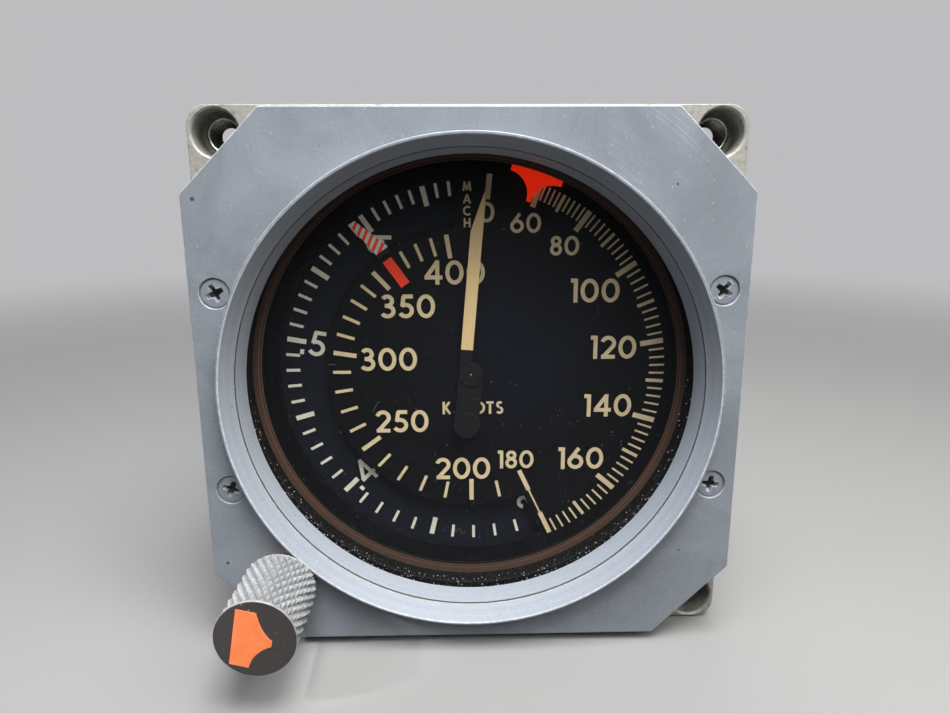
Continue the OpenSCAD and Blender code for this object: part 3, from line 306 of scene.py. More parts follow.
# Zinc-plated steel: cool grey and satin, with a fine uneven haze; the threads, where the mesh's edge value is -1,
# are brown with oil.
plated_steel, tree, place = new_tree("plated_steel")
haze = node(tree, "TexNoise", {"Vector": place, "Scale": 1 / (0.7 * MM), "Detail": 5.0})
shade = node(tree, "Mix", {0: haze, 6: "#8A8A86", 7: "#D2D1CC"}, data_type="RGBA")
edge = node(tree, "Attribute", attribute_name="edge", attribute_type="GEOMETRY")
deep = node(tree, "MapRange", {"Value": edge.outputs["Fac"], "From Min": 0.0, "From Max": -1.0})
oiled = node(tree, "Mix", {0: deep, 6: shade, 7: "#3A3426"}, data_type="RGBA")
surface(tree, oiled, haze, (0.42, 0.22), more={"Metallic": 1.0})

crest = np.arange(2 * INSERT_TURNS + 1)
thread_r = np.linspace(INSERT_THREAD_R, INSERT_MOUTH_R - INSERT_CUT, len(crest)) + INSERT_CUT * (crest % 2)
thread_y = np.linspace(-0.2, RECESS_FLOOR + 0.12, len(crest))
insert_section = chain(
    [[INSERT_R, RECESS_FLOOR, 0], [INSERT_R, 0, 0], [INSERT_THREAD_R + 0.3, 0, 0]],
    np.stack([thread_r, thread_y, -0.45 - 0.55 * (crest % 2)], 1),
    [[INSERT_MOUTH_R, RECESS_FLOOR + 0.06, 0], [INSERT_MOUTH_R + 0.08, RECESS_FLOOR, 0]],
)
insert_shapes = joined([turned(insert_section[:, :2], 64, ear) for ear in EARS])
insert_wear = np.tile(insert_section[:, 2], 64 * len(EARS))
inserts = piece("ear_inserts", *insert_shapes, "case_body", plated_steel, wear=insert_wear, slot="plated_steel")
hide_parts("mount_inserts")

# MOVEMENT
# Brass plates, pillars, gears and sectors, with steel shafts and screws and bronze capsules, all behind the dial.
# They are cut, turned or spun, and held by screws and pressed bushes.

# Brass: warm yellow metal, satin from fine brushing about 0.3 mm apart, a little brown where it has aged.
brass, tree, place = new_tree("brushed_brass")
stretch = node(tree, "Mapping", {"Vector": place, "Scale": (1.0, 1.0, 12.0)})
brush = node(tree, "TexNoise", {"Vector": stretch, "Scale": 1 / (3.6 * MM), "Detail": 4.0})
age = node(tree, "TexNoise", {"Vector": place, "Scale": 1 / (6 * MM), "Detail": 3.0})
shade = node(tree, "Mix", {0: age, 6: "#B08A45", 7: "#D9B970"}, data_type="RGBA")
surface(tree, shade, brush, (0.24, 0.42), (0.2, 0.02), {"Metallic": 1.0})


def mottled(name, spacing, detail, shades, rough, more=None, painted_glow=0.0):
    """A material whose colour and roughness go from one value to another with a noise of that spacing in millimetres.
    A painted glow, where given, gives out that share of its own colour as light."""
    made, tree, place = new_tree(name)
    patches = node(tree, "TexNoise", {"Vector": place, "Scale": 1 / (spacing * MM), "Detail": detail})
    shade = node(tree, "Mix", {0: patches, 6: shades[0], 7: shades[1]}, data_type="RGBA")
    painted_glow_sockets = {"Emission Color": shade, "Emission Strength": painted_glow} if painted_glow else {}
    surface(tree, shade, patches, rough, more={**painted_glow_sockets, **(more or {})})
    return made


# Phosphor bronze: redder than brass, spun thin, with a soft heat tint.
bronze = mottled("spun_bronze", 5, 4.0, ("#8C5A34", "#C79A63"), (0.3, 0.45), {"Metallic": 1.0})

# Ground steel: neutral grey, fairly smooth, with faint turning marks.
steel = mottled("ground_steel", 0.4, 3.0, ("#96979B", "#C6C7CA"), (0.2, 0.35), {"Metallic": 1.0})


def dress(material, *names):
    """Gives CAD nodes that stay as they are their material."""
    for name in names:
        nodes[name].data.materials.clear()
        nodes[name].data.materials.append(material)


dress(brass, "front_plate", "rear_plate", "pillars", "disk_pipe", "disk_gear", "limit_pipe", "limit_gear",
    "hairspring_collet", "hairspring_stud", "airspeed_sector", "airspeed_bracket", "disk_sector", "limit_sector",
    "aneroid_bracket", "pitot_union", "knob_bush", "knob_pinion")
dress(bronze, "plate_bushes", "airspeed_capsule", "aneroid_capsule", "pitot_tube")
dress(steel, "pointer_staff", "hairspring", "pillar_screws", "movement_screws", "airspeed_shaft", "airspeed_crank",
    "airspeed_link", "altitude_shaft", "altitude_crank", "altitude_link", "bracket_screws", "knob_shaft",
    "knob_set_screw")

# MACH DISK
# A thin aluminium disk on the altitude pipe, painted black, with its scale printed in grey near the rim.
# It shows through the dial's arc window and turns as altitude changes.
DISK_FACE, INK = 1.7, 0.03
MACH_TICK_OUT, MACH_TICK_IN, MACH_LONG_IN, MACH_TICK_W, MACH_LONG_W = 31.87, 29.5, 28.6, 0.5, 0.85
MACH_FIGURE, MACH_FIGURE_R, MACH_FIGURE_STROKE = 4.5, 27.4, 0.15
MACH_LEAST, MACH_MOST = 0.28, 0.785


def specks(tree, place, spacing, rare, near, most=1.0):
    """Dust: one speck in each cell of that spacing in millimetres, where the cell's random value is in or over the
    span of rare, fading out over the distances in near from its middle, as shares of a cell."""
    cells = node(tree, "TexVoronoi", {"Vector": place, "Scale": 1 / (spacing * MM), "Randomness": 1.0})
    pick = node(tree, "SeparateColor", {0: cells.outputs["Color"]})
    kept = node(tree, "MapRange", {"Value": pick, "From Min": rare[0], "From Max": rare[1]})
    speck = node(tree, "MapRange", {"Value": cells, "From Min": near[0], "From Max": near[1], "To Max": most})
    return node(tree, "Math", {0: kept, 1: speck}, operation="MULTIPLY")


def from_axis(tree, place):
    """Distance from the Y axis: the length of (x, 0, z)."""
    flat = node(tree, "VectorMath", {0: place, 1: (1.0, 0.0, 1.0)}, operation="MULTIPLY")
    return node(tree, "VectorMath", {0: flat}, operation="LENGTH")


# Disk lacquer: matt blue-black, with fine pale dust that has drifted behind the dial; a painted shadow darkens a
# band beside the window's inner edge, where the dial shades it.
WINDOW_IN_R, SHADED_FROM, SHADED_W, SHADE = 24.4, 0.3, 1.0, 0.12
disk_lacquer, tree, place = new_tree("disk_lacquer")
peel = node(tree, "TexNoise", {"Vector": place, "Scale": 1 / (0.7 * MM), "Detail": 5.0})
dust = specks(tree, place, 0.8, (0.6, 0.9), (0.07, 0.04), 0.5)
shade = node(tree, "Mix", {0: peel, 6: "#10131A", 7: "#1B1F29"}, data_type="RGBA")
dusty = node(tree, "Mix", {0: dust, 6: shade, 7: "#5C6068"}, data_type="RGBA")
radius = from_axis(tree, place)
# Painted shadow: the lacquer darkens next to the window's inner edge.
window_shadow = node(tree, "MapRange", {"Value": radius, "From Min": (WINDOW_IN_R + SHADED_FROM) * MM,
    "From Max": (WINDOW_IN_R + SHADED_W) * MM, "To Min": SHADE})
tone = node(tree, "VectorMath", {0: dusty, "Scale": window_shadow}, operation="SCALE")
surface(tree, tone, peel, (0.5, 0.65), more={"Specular IOR Level": 0.1})
dress(disk_lacquer, "mach_disk")

# Grey ink: the disk's print, greyer than the dial's, with a faint painted glow to lift it out of the window's
# shade.
grey_ink = mottled("grey_ink", 0.9, 4.0, ("#D6D2BE", "#EEEAD6"), (0.7, 0.85), {"Specular IOR Level": 0.2}, painted_glow=0.05)


def bars(angles, inner, outer, widths, y, height=INK):
    """Radial strokes on a dial: for each compass angle a thin box from the inner to the outer radius, of that width."""
    angles = np.radians(np.atleast_1d(np.asarray(angles, float)))
    inner, outer, widths = (np.broadcast_to(np.asarray(v, float), angles.shape) for v in (inner, outer, widths))
    out = np.stack([np.sin(angles), np.cos(angles)], 1)
    across = np.stack([out[:, 1], -out[:, 0]], 1)
    reach = np.stack([inner, outer, outer, inner], 1)
    side = np.array([-0.5, -0.5, 0.5, 0.5]) * widths[:, None]
    flat = out[:, None] * reach[..., None] + across[:, None] * side[..., None]
    low = np.concatenate([flat[..., :1], np.full(flat.shape[:2] + (1,), y), flat[..., 1:]], 2)
    high = low - [0, height, 0]
    points = np.concatenate([low, high], 1).reshape(-1, 3)
    box = np.array([[0, 1, 2, 3], [7, 6, 5, 4], [0, 4, 5, 1], [1, 5, 6, 2], [2, 6, 7, 3], [3, 7, 4, 0]])
    faces = (box[None] + 8 * np.arange(len(angles))[:, None, None]).reshape(-1, 4)
    return points, faces.tolist()


def ribbon(line, width, y, height=INK):
    """A stroke: a flat rectangle of that width and height carried along a line of (x, z) points, closed at its ends."""
    line = np.asarray(line, float)
    along = np.gradient(line, axis=0)
    along /= np.linalg.norm(along, axis=1, keepdims=True)
    across = np.stack([-along[:, 1], along[:, 0]], 1) * width / 2
    rails = np.stack([line + across, line - across, line - across, line + across], 1)
    depth = np.broadcast_to(np.array([y - height, y - height, y, y])[None, :, None], rails.shape[:2] + (1,))
    points = np.concatenate([rails[..., :1], depth, rails[..., 1:]], 2)
    wrapped = np.concatenate([points, points[:, :1]], 1)
    faces = grid_faces(len(line), 5, wrap_rows=False)
    end = (len(line) - 1) * 5
    return wrapped.reshape(-1, 3), faces + [[0, 1, 2, 3], [end, end + 1, end + 2, end + 3]]


def bow(x, z, across, up, start, stop, count=28):
    """Points along part of an ellipse about (x, z), by degrees counted anticlockwise from its right."""
    turn = np.radians(np.linspace(start, stop, count))
    return np.stack([x + across * np.cos(turn), z + up * np.sin(turn)], 1)


def straight(*points):
    """Points along straight strokes; each pair of ends is one stroke of its own."""
    return [np.linspace(a, b, 2) for a, b in zip(points[:-1], points[1:])]


# Figures and letters one unit high, drawn as strokes: the width that each takes up, then its centre lines.
GLYPHS = {
    "0": (0.76, [bow(0.38, 0.5, 0.295, 0.415, 90, 450, 49)]),
    "1": (0.32, [*straight((0.235, 0), (0.235, 1)), *straight((0.03, 0.925), (0.235, 0.925))]),
    "2": (0.66, [bow(0.335, 0.675, 0.25, 0.24, 165, -38), *straight((0.535, 0.53), (0.11, 0.06)),
        *straight((0.05, 0.085), (0.64, 0.085))]),
    "3": (0.66, [bow(0.31, 0.725, 0.2, 0.19, 150, -80), bow(0.31, 0.3, 0.25, 0.215, 100, -150),
        *straight((0.2, 0.525), (0.36, 0.525))]),
    "4": (0.76, [*straight((0.57, 0.97), (0.08, 0.3)), *straight((0.02, 0.3), (0.76, 0.3)),
        *straight((0.55, 0), (0.55, 1))]),
    "5": (0.64, [*straight((0.17, 0.915), (0.6, 0.915)), *straight((0.215, 0.92), (0.15, 0.49)),
        bow(0.29, 0.325, 0.26, 0.24, 128, -152)]),
    "6": (0.7, [bow(0.35, 0.34, 0.265, 0.255, 90, 450, 41), *straight((0.49, 0.97), (0.125, 0.46))]),
    "7": (0.62, [*straight((0.02, 0.915), (0.6, 0.915)), *straight((0.55, 0.9), (0.17, 0.0))]),
    "8": (0.62, [bow(0.31, 0.735, 0.19, 0.18, 90, 450, 37), bow(0.31, 0.305, 0.225, 0.22, 90, 450, 41)]),
    "K": (0.6, [*straight((0.085, 0), (0.085, 1)), *straight((0.13, 0.46), (0.53, 0.97)),
        *straight((0.2, 0.56), (0.57, 0.02))]),
    "N": (0.78, [*straight((0.085, 0), (0.085, 1)), *straight((0.1, 0.96), (0.68, 0.04)),
        *straight((0.695, 0), (0.695, 1))]),
    "O": (1.0, [bow(0.5, 0.5, 0.42, 0.42, 90, 450, 49)]),
    "T": (0.56, [*straight((0, 0.915), (0.56, 0.915)), *straight((0.28, 0), (0.28, 1))]),
    "S": (0.56, [bow(0.28, 0.735, 0.17, 0.18, 35, 265), bow(0.28, 0.29, 0.2, 0.205, 85, -150)]),
    "M": (0.96, [*straight((0.1, 0), (0.21, 1)), *straight((0.21, 0.97), (0.48, 0.1)),
        *straight((0.48, 0.1), (0.75, 0.97)), *straight((0.75, 1), (0.86, 0))]),
    "A": (0.84, [*straight((0.06, 0), (0.42, 0.97)), *straight((0.42, 0.97), (0.78, 0)),
        *straight((0.18, 0.31), (0.66, 0.31))]),
    "C": (0.84, [bow(0.48, 0.5, 0.4, 0.42, 48, 312, 37)]),
    "H": (0.72, [*straight((0.085, 0), (0.085, 1)), *straight((0.635, 0), (0.635, 1)),
        *straight((0.085, 0.5), (0.635, 0.5))]),
    ".": (0.2, [np.array([[0.1, 0.0], [0.1, 0.19]])]),
}


def lettering(text, centre, size, y, stroke=0.17, gap=0.12, turn=0.0):
    """Text about a centre: glyph strokes side by side, scaled to size, turned clockwise by turn degrees.
    Each stroke stands a hair higher than the last, so that no two faces lie in one plane."""
    widths = np.array([GLYPHS[c][0] for c in text])
    starts = np.concatenate([[0], np.cumsum(widths + gap)[:-1]]) - (widths.sum() + gap * (len(text) - 1)) / 2
    spin = np.radians(-turn)
    matrix = np.array([[np.cos(spin), -np.sin(spin)], [np.sin(spin), np.cos(spin)]])
    strokes = [line + [start, -0.5] for c, start in zip(text, starts) for line in GLYPHS[c][1]]
    placed = [(line * size) @ matrix.T + centre for line in strokes]
    return [ribbon(line, stroke * size, y, INK + 0.001 * k) for k, line in enumerate(placed)]


def mach_angle(mach):
    """Compass angle of a Mach number on the disk: a cubic about Mach 0.5."""
    w = np.asarray(mach, float) - 0.5
    return 712.83 * w**3 - 472.16 * w**2 + 492.42 * w + 280.08


mach = np.round(np.arange(MACH_LEAST, MACH_MOST, 0.01), 2)
# Every fifth tick is long.
is_long = np.isclose((mach * 20) % 1, 0) | np.isclose((mach * 20) % 1, 1)
mach_marks = [bars(mach_angle(mach), np.where(is_long, MACH_LONG_IN, MACH_TICK_IN), MACH_TICK_OUT,
    np.where(is_long, MACH_LONG_W, MACH_TICK_W), DISK_FACE)]
for tenth in (3, 4, 5, 6, 7):
    bearing = float(mach_angle(tenth / 10))
    spot = MACH_FIGURE_R * np.array([math.sin(math.radians(bearing)), math.cos(math.radians(bearing))])
    mach_marks += lettering(f".{tenth}", spot, MACH_FIGURE, DISK_FACE, MACH_FIGURE_STROKE, turn=bearing - 270)
piece("mach_scale_print", *joined(mach_marks), "mach_dial", grey_ink, slot="cream_paint")

# LIMIT POINTER
# A thin aluminium hand behind the dial, on the altitude gearing; its end shows in the arc window.
# The end is painted with slanting red and pale stripes, and its arm is black. STRIPE_BEARING is the way they follow
# one another.
STRIPE_FROM, STRIPE_PITCH, STRIPE_BEARING = 25.2, 1.06, math.radians(294)

# Striped lacquer: red and pale grey bands 0.53 mm wide each, slanting across the hand; the arm inside is black. A faint
# painted glow lifts it out of the window's shade.
striped_lacquer, tree, place = new_tree("striped_lacquer")
radius = from_axis(tree, place)
across = (math.sin(STRIPE_BEARING), 0.0, math.cos(STRIPE_BEARING))
along = node(tree, "VectorMath", {0: place, 1: across}, operation="DOT_PRODUCT")
phase = node(tree, "Math", {0: along, 1: 1 / (STRIPE_PITCH * MM)}, operation="MULTIPLY")
cycle = node(tree, "Math", {0: phase}, operation="FRACT")
is_red = node(tree, "MapRange", {"Value": cycle, "From Min": 0.5, "From Max": 0.54})
mottle = node(tree, "TexNoise", {"Vector": place, "Scale": 1 / (0.5 * MM), "Detail": 3.0})
red = node(tree, "Mix", {0: mottle, 6: "#F03A1C", 7: "#FF5028"}, data_type="RGBA")
band = node(tree, "Mix", {0: is_red, 6: "#DAD5CA", 7: red}, data_type="RGBA")
is_arm = node(tree, "MapRange", {"Value": radius, "From Min": STRIPE_FROM * MM, "From Max": (STRIPE_FROM - 0.1) * MM})
tone = node(tree, "Mix", {0: is_arm, 6: band, 7: "#101012"}, data_type="RGBA")
surface(tree, tone, mottle, (0.5, 0.65), more={"Emission Color": tone, "Emission Strength": 0.12})
dress(striped_lacquer, "limit_pointer")

# DIAL
# An aluminium plate painted black and printed in cream, held to the case's lugs by small black screws.
# An arc window in it shows the Mach disk; a red bar marks the lower limit speed.
DIAL_FACE = -0.5
SPEED_OUT, SPEED_SHORT_IN, SPEED_10_IN, SPEED_20_IN = 33.2, 30.66, 30.2, 29.3
SPEED_WIDTHS = (0.32, 0.56, 0.88)
SLOW_FROM, SLOW_TO, FAST_FROM, FAST_TO, BAR_SPEED = 60, 180, 190, 400, 360
FAST_OUT, FAST_10_IN, FAST_50_IN, FAST_10_W, FAST_50_W = 23.45, 20.4, 19.55, 0.52, 0.74
ZERO_BEARING, ZERO_IN, ZERO_OUT = 5.6, 28.9, 32.9
# The line that leads from the outer scale in to the inner one, in three lengths.
LEADER_BEARING, LEADER_IN, LEADER_OUT, LEADER_WIDTHS = 154.8, (19.9, 23.9, 28.8), (24.0, 28.9, 33.1), (0.76, 0.28, 0.8)
LIMIT_BAR_BEARING, LIMIT_BAR_IN, LIMIT_BAR_OUT, LIMIT_BAR_W = 324.3, 18.4, 23.5, 1.7
KNOTS_X, KNOTS_Z, KNOTS_SIZE, KNOTS_STROKE = (-4.2, -1.58, 1.32, 3.32, 4.97), -6.4, 2.25, 0.18
MACH_X, MACH_Z, MACH_SIZE, MACH_STROKE = -0.45, (30.81, 28.84, 26.94, 25.01), 1.5, 0.2
SHEEN_SPOT, SHEEN_REACH, SHEEN_HEART = (6, 0, 2), 22, 4

# Dial paint: black lacquer, its orange peel about 0.6 mm wide, with sparse pale dust and a painted blue sheen, a
# reflection, at the middle.
dial_paint, tree, place = new_tree("dial_lacquer")
peel = node(tree, "TexNoise", {"Vector": place, "Scale": 1 / (0.6 * MM), "Detail": 4.0})
cloud = node(tree, "TexNoise", {"Vector": place, "Scale": 1 / (9 * MM), "Detail": 4.0})
# Painted reflection: a bluish sheen mixed into the lacquer about a spot near the middle.
away = node(tree, "VectorMath", {0: place, 1: tuple(v * MM for v in SHEEN_SPOT)}, operation="DISTANCE")
near = node(tree, "MapRange", {"Value": away, "From Min": SHEEN_REACH * MM, "From Max": SHEEN_HEART * MM},
    interpolation_type="SMOOTHSTEP")
painted_sheen = node(tree, "Math", {0: near, 1: cloud}, operation="MULTIPLY")
dust = specks(tree, place, 2.2, (0.88, 0.92), (0.05, 0.03), 0.6)
shade = node(tree, "Mix", {0: painted_sheen, 6: "#0A0A0B", 7: "#151826"}, data_type="RGBA")
dusty = node(tree, "Mix", {0: dust, 6: shade, 7: "#6E7074"}, data_type="RGBA")
surface(tree, dusty, peel, (0.36, 0.5), (0.15, 0.02), {"Specular IOR Level": 0.12})
dress(dial_paint, "dial")

# Cream ink: flat tan-white print that has yellowed a little, mottled at about 1 mm.
cream_ink = mottled("cream_ink", 1.1, 4.0, ("#CDB88C", "#E6D4A8"), (0.7, 0.85))

# Black lacquer: matt paint on small hardware and rings, with pale dust in specks of about 0.15 mm.
black_lacquer, tree, place = new_tree("black_lacquer")
peel = node(tree, "TexNoise", {"Vector": place, "Scale": 1 / (0.8 * MM), "Detail": 4.0})
dust = specks(tree, place, 0.55, (0.6, 1.0), (0.25, 0.12))
shade = node(tree, "Mix", {0: peel, 6: "#070706", 7: "#11100F"}, data_type="RGBA")
dusty = node(tree, "Mix", {0: dust, 6: shade, 7: "#6B665A"}, data_type="RGBA")
surface(tree, dusty, peel, (0.6, 0.8), more={"Specular IOR Level": 0.08})
dress(black_lacquer, "dial_screws", "spacer_ring")


def speed_angle(knots):
    """Compass angle of an airspeed: a parabola up to 100 knots, a straight line to 200, and a cubic above."""
    u, v = np.asarray(knots, float) / 100, np.asarray(knots, float) / 100 - 2
    slow, middle = 50 * u**2 + 9.8 * u - 3.58, 56.1 + 123.8 * (u - 1)
    fast = 3.177 * v**3 - 22.972 * v**2 + 118.454 * v + 179.96
    return np.where(u <= 1, slow, np.where(u <= 2, middle, fast))


# The outer scale has a tick every 2 knots, and the inner one every 10, except where the red bar stands.
slow = np.arange(SLOW_FROM, SLOW_TO, 2)
step = np.where(slow % 20 == 0, 2, np.where(slow % 10 == 0, 1, 0))
fast = np.array([v for v in range(FAST_FROM, FAST_TO + 10, 10) if v != BAR_SPEED])
fifty = fast % 50 == 0
dial_marks = [
    bars(speed_angle(slow), np.choose(step, [SPEED_SHORT_IN, SPEED_10_IN, SPEED_20_IN]), SPEED_OUT,
        np.choose(step, SPEED_WIDTHS), DIAL_FACE),
    bars(speed_angle(fast), np.where(fifty, FAST_50_IN, FAST_10_IN), FAST_OUT,
        np.where(fifty, FAST_50_W, FAST_10_W), DIAL_FACE),
    bars([ZERO_BEARING], ZERO_IN, ZERO_OUT, SPEED_WIDTHS[2], DIAL_FACE),
    bars([LEADER_BEARING] * 3, LEADER_IN, LEADER_OUT, LEADER_WIDTHS, DIAL_FACE),
]
# Each figure of the speed scales: its text, the place of its middle and its height.
FIGURES = [
    ("60", (9.11, 24.95), 3.2), ("80", (15.59, 21.25), 3.2), ("100", (20.85, 13.8), 4.0), ("120", (24.3, 4.1), 4.0),
    ("140", (23.7, -6.2), 4.0), ("160", (19.3, -15.85), 4.0), ("180", (7.8, -15.95), 3.3), ("200", (-1.48, -17.5), 4.0),
    ("250", (-11.96, -8.72), 4.0), ("300", (-13.95, 2.3), 4.0), ("350", (-10.5, 11.35), 4.0),
    ("400", (-2.6, 16.95), 4.0), ("0", (2.74, 26.7), 3.3),
]
for text, spot, size in FIGURES:
    dial_marks += lettering(text, spot, size, DIAL_FACE)
for text, x in zip("KNOTS", KNOTS_X):
    dial_marks += lettering(text, (x, KNOTS_Z), KNOTS_SIZE, DIAL_FACE, KNOTS_STROKE)
for text, z in zip("MACH", MACH_Z):
    dial_marks += lettering(text, (MACH_X, z), MACH_SIZE, DIAL_FACE, MACH_STROKE)
piece("dial_print", *joined(dial_marks), "case_body", cream_ink, slot="cream_paint")

# Red lacquer: the limit bar's flat orange-red paint, slightly uneven, with a faint painted glow.
red_lacquer = mottled("red_lacquer", 0.9, 4.0, ("#FF3A20", "#FF5030"), (0.55, 0.7), {"Specular IOR Level": 0.2},
    painted_glow=0.05)
limit_bar = bars([LIMIT_BAR_BEARING], LIMIT_BAR_IN, LIMIT_BAR_OUT, LIMIT_BAR_W, DIAL_FACE)
piece("limit_bar_print", *limit_bar, "case_body", red_lacquer, slot="red_paint")

# AIRSPEED POINTER
# A flat aluminium hand on the staff: a cream blade to one side of the axis, and a black hub and tail.
# A round weight on the tail balances it.
POINTER_BEARING = 5.0
BLADE_FRONT, BLADE_BACK, PAINT_BLUR = -2.65, -2.25, 0.03
BLADE_TIP, BLADE_TIP_W, BLADE_SHOULDER, BLADE_W, CREAM_FROM = 29.95, 0.3, 23.6, 2.0, 4.2
HUB_R, TAIL, WEIGHT_R, PIVOT_R = 2.06, 8.9, 2.3, 0.22


def spun(points, bearing):
    """Points turned clockwise about the dial axis, seen from the front."""
    turn = math.radians(bearing)
    x, z = points[..., 0], points[..., -1]
    made = np.array(points, float)
    made[..., 0], made[..., -1] = x * math.cos(turn) + z * math.sin(turn), z * math.cos(turn) - x * math.sin(turn)
    return made


def slab(line, front, back, edge):
    """Points and faces of a plate of that outline with its front and back edges rounded."""
    profile = chain(round_edge(0, front, edge, 1, 0.06, 4), round_edge(0, back, edge, -1, 0.06, 4)[::-1])
    return plate([(line, profile)])[:2]


# Pointer paint: cream lacquer on the blade, black beyond it, both matt and a little dusty.
pointer_paint, tree, place = new_tree("pointer_lacquer")
bearing = math.radians(POINTER_BEARING)
along = node(tree, "VectorMath", {0: place, 1: (math.sin(bearing), 0.0, math.cos(bearing))}, operation="DOT_PRODUCT")
is_cream = node(tree, "MapRange", {"Value": along, "From Min": (CREAM_FROM - PAINT_BLUR) * MM,
    "From Max": (CREAM_FROM + PAINT_BLUR) * MM})
mottle = node(tree, "TexNoise", {"Vector": place, "Scale": 1 / (1.3 * MM), "Detail": 5.0})
flecks = node(tree, "TexVoronoi", {"Vector": place, "Scale": 1 / (1.9 * MM), "Randomness": 1.0})
fleck = node(tree, "MapRange", {"Value": flecks, "From Min": 0.05, "From Max": 0.09, "To Min": 0.7, "To Max": 1.0})
cream = node(tree, "Mix", {0: mottle, 6: "#DBBD84", 7: "#EBD19C"}, data_type="RGBA")
flecked = node(tree, "VectorMath", {0: cream, "Scale": fleck}, operation="SCALE")
tone = node(tree, "Mix", {0: is_cream, 6: "#0E0E0F", 7: flecked}, data_type="RGBA")
surface(tree, tone, mottle, (0.6, 0.75), more={"Specular IOR Level": 0.25})

edge_z = math.sqrt(HUB_R**2 - BLADE_W**2)
neck = math.degrees(math.acos(HUB_R / WEIGHT_R))
hand_line = np.concatenate([
    [[0, BLADE_TIP]], bow(0, 0, HUB_R, HUB_R, 90, 0, 17), bow(0, -TAIL, WEIGHT_R, WEIGHT_R, neck, -180 - neck, 49),
    bow(0, 0, HUB_R, HUB_R, 180, math.degrees(math.atan2(edge_z, -BLADE_W)), 5),
    [[-BLADE_W, BLADE_SHOULDER], [-BLADE_TIP_W, BLADE_TIP]],
])
weight_spot = spun(np.array([[0.0, -TAIL]]), POINTER_BEARING)[0]
pointer_parts = [
    slab(spun(hand_line, POINTER_BEARING), BLADE_FRONT, BLADE_BACK, 0.06),
    slab(circle(WEIGHT_R - 0.05, 64, weight_spot), BLADE_FRONT - 0.22, BLADE_FRONT + 0.02, 0.07),
    slab(circle(HUB_R - 0.1, 64), BLADE_FRONT - 0.3, BLADE_FRONT + 0.02, 0.08),
]
pointer = piece("airspeed_pointer_hand", *joined(pointer_parts), "pointer", pointer_paint, slot="cream_paint")
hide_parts("airspeed_pointer")
pivot = slab(circle(PIVOT_R, 24), BLADE_FRONT - 0.36, BLADE_FRONT - 0.1, 0.05)
piece("pointer_pivot", *pivot, "pointer", steel, slot="steel")

# BUG RING AND BUG
# A brown phenolic ring with gear teeth hidden at its rim, turned by the knob, and the red bug fixed in its back.
# The ring is cut from laminate, the bug from thin sheet.
BUG_BEARING, BUG_FRONT, BUG_BACK = 18.3, -1.95, -1.45
BUG_HALF_W, BUG_TIP_R, BUG_BASE_R, BUG_SHOULDER_R, BUG_TIP_HALF = 4.28, 29.85, 35.6, 33.65, 0.35

# Phenolic laminate: dark brown resin with fibres about 0.3 mm wide in patches, semi-matt; a lighter brown band along
# its inner edge is a painted highlight, parted in two by a dark line painted as the shade in a fine groove, and its
# inner wall is painted almost black as shade.
LIT_EDGE_R, GROOVE_R, GROOVE_HALF_W = 35.32, 35.02, 0.1
phenolic, tree, place = new_tree("phenolic_laminate")
fibre = node(tree, "TexNoise", {"Vector": place, "Scale": 1 / (0.7 * MM), "Detail": 6.0, "Roughness": 0.7})
radius = from_axis(tree, place)
# Painted shade: a thin dark line where a fine groove would lie.
groove_shade = node(tree, "Math", {0: radius, 1: GROOVE_R * MM, 2: GROOVE_HALF_W * MM}, operation="COMPARE")
dark = node(tree, "Mix", {0: fibre, 6: "#402F24", 7: "#5F4A3B"}, data_type="RGBA")
pale = node(tree, "Mix", {0: groove_shade, 6: "#6F5142", 7: "#2E211A"}, data_type="RGBA")
# Painted highlight: a lighter brown band along the inner edge.
is_pale = node(tree, "MapRange", {"Value": radius, "From Min": (LIT_EDGE_R + 0.12) * MM,
    "From Max": (LIT_EDGE_R - 0.04) * MM})
shade = node(tree, "Mix", {0: is_pale, 6: dark, 7: pale}, data_type="RGBA")
# Painted shade: faces not turned to the front, such as the inner wall, are almost black.
facing = node(tree, "SeparateXYZ", {0: node(tree, "TexCoord").outputs["Normal"]})
wall_shade = node(tree, "MapRange", {"Value": facing.outputs[1], "From Min": -0.7, "From Max": -0.3})
tone = node(tree, "Mix", {0: wall_shade, 6: shade, 7: "#0D0A08"}, data_type="RGBA")
surface(tree, tone, fibre, (0.6, 0.45), (0.3, 0.04), {"Specular IOR Level": 0.25})
dress(phenolic, "bug_ring")

# Fluorescent red lacquer: strong orange-red, mottled at about 1 mm, with a glow painted in to stand for its
# fluorescence.
bug_red = mottled("fluorescent_red_lacquer", 1.0, 5.0, ("#F02A08", "#FF3C12"), (0.5, 0.65),
    {"Emission Color": "#FF2A08", "Emission Strength": 0.46, "Specular IOR Level": 0.2})


def bug_outline(half_w, tip_r, shoulder_r, base_r, tip_half, count=14):
    """Half-round base, straight sides, then a hollow quarter ellipse on each side down to a narrow tip."""
    turn = np.linspace(0, np.pi / 2, count)
    hollow = np.stack([half_w - (half_w - tip_half) * np.sin(turn), tip_r + (shoulder_r - tip_r) * np.cos(turn)], 1)
    swing = np.linspace(-1, 1, 15) * math.asin(half_w / base_r)
    base = base_r * np.stack([np.sin(swing), np.cos(swing)], 1)
    return np.concatenate([base, hollow, hollow[::-1] * [-1, 1]])


bug_line = spun(bug_outline(BUG_HALF_W, BUG_TIP_R, BUG_SHOULDER_R, BUG_BASE_R, BUG_TIP_HALF), BUG_BEARING)
bug = piece("speed_bug", *slab(bug_line, BUG_FRONT, BUG_BACK, 0.07), "bug_carrier", bug_red, slot="red_paint")
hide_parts("bug")

# GASKETS
# Black rubber rings: one behind the glass, one between bezel and flange, and the seal round the knob's shaft.
# They are cut from sheet, and only their edges show.

# Black rubber: matt, with a pale bloom in patches of about 1 mm.
rubber = mottled("black_rubber", 1.5, 4.0, ("#0C0C0C", "#1A1918"), (0.7, 0.9), {"Specular IOR Level": 0.2})
dress(rubber, "glass_gasket", "bezel_gasket", "knob_seal")

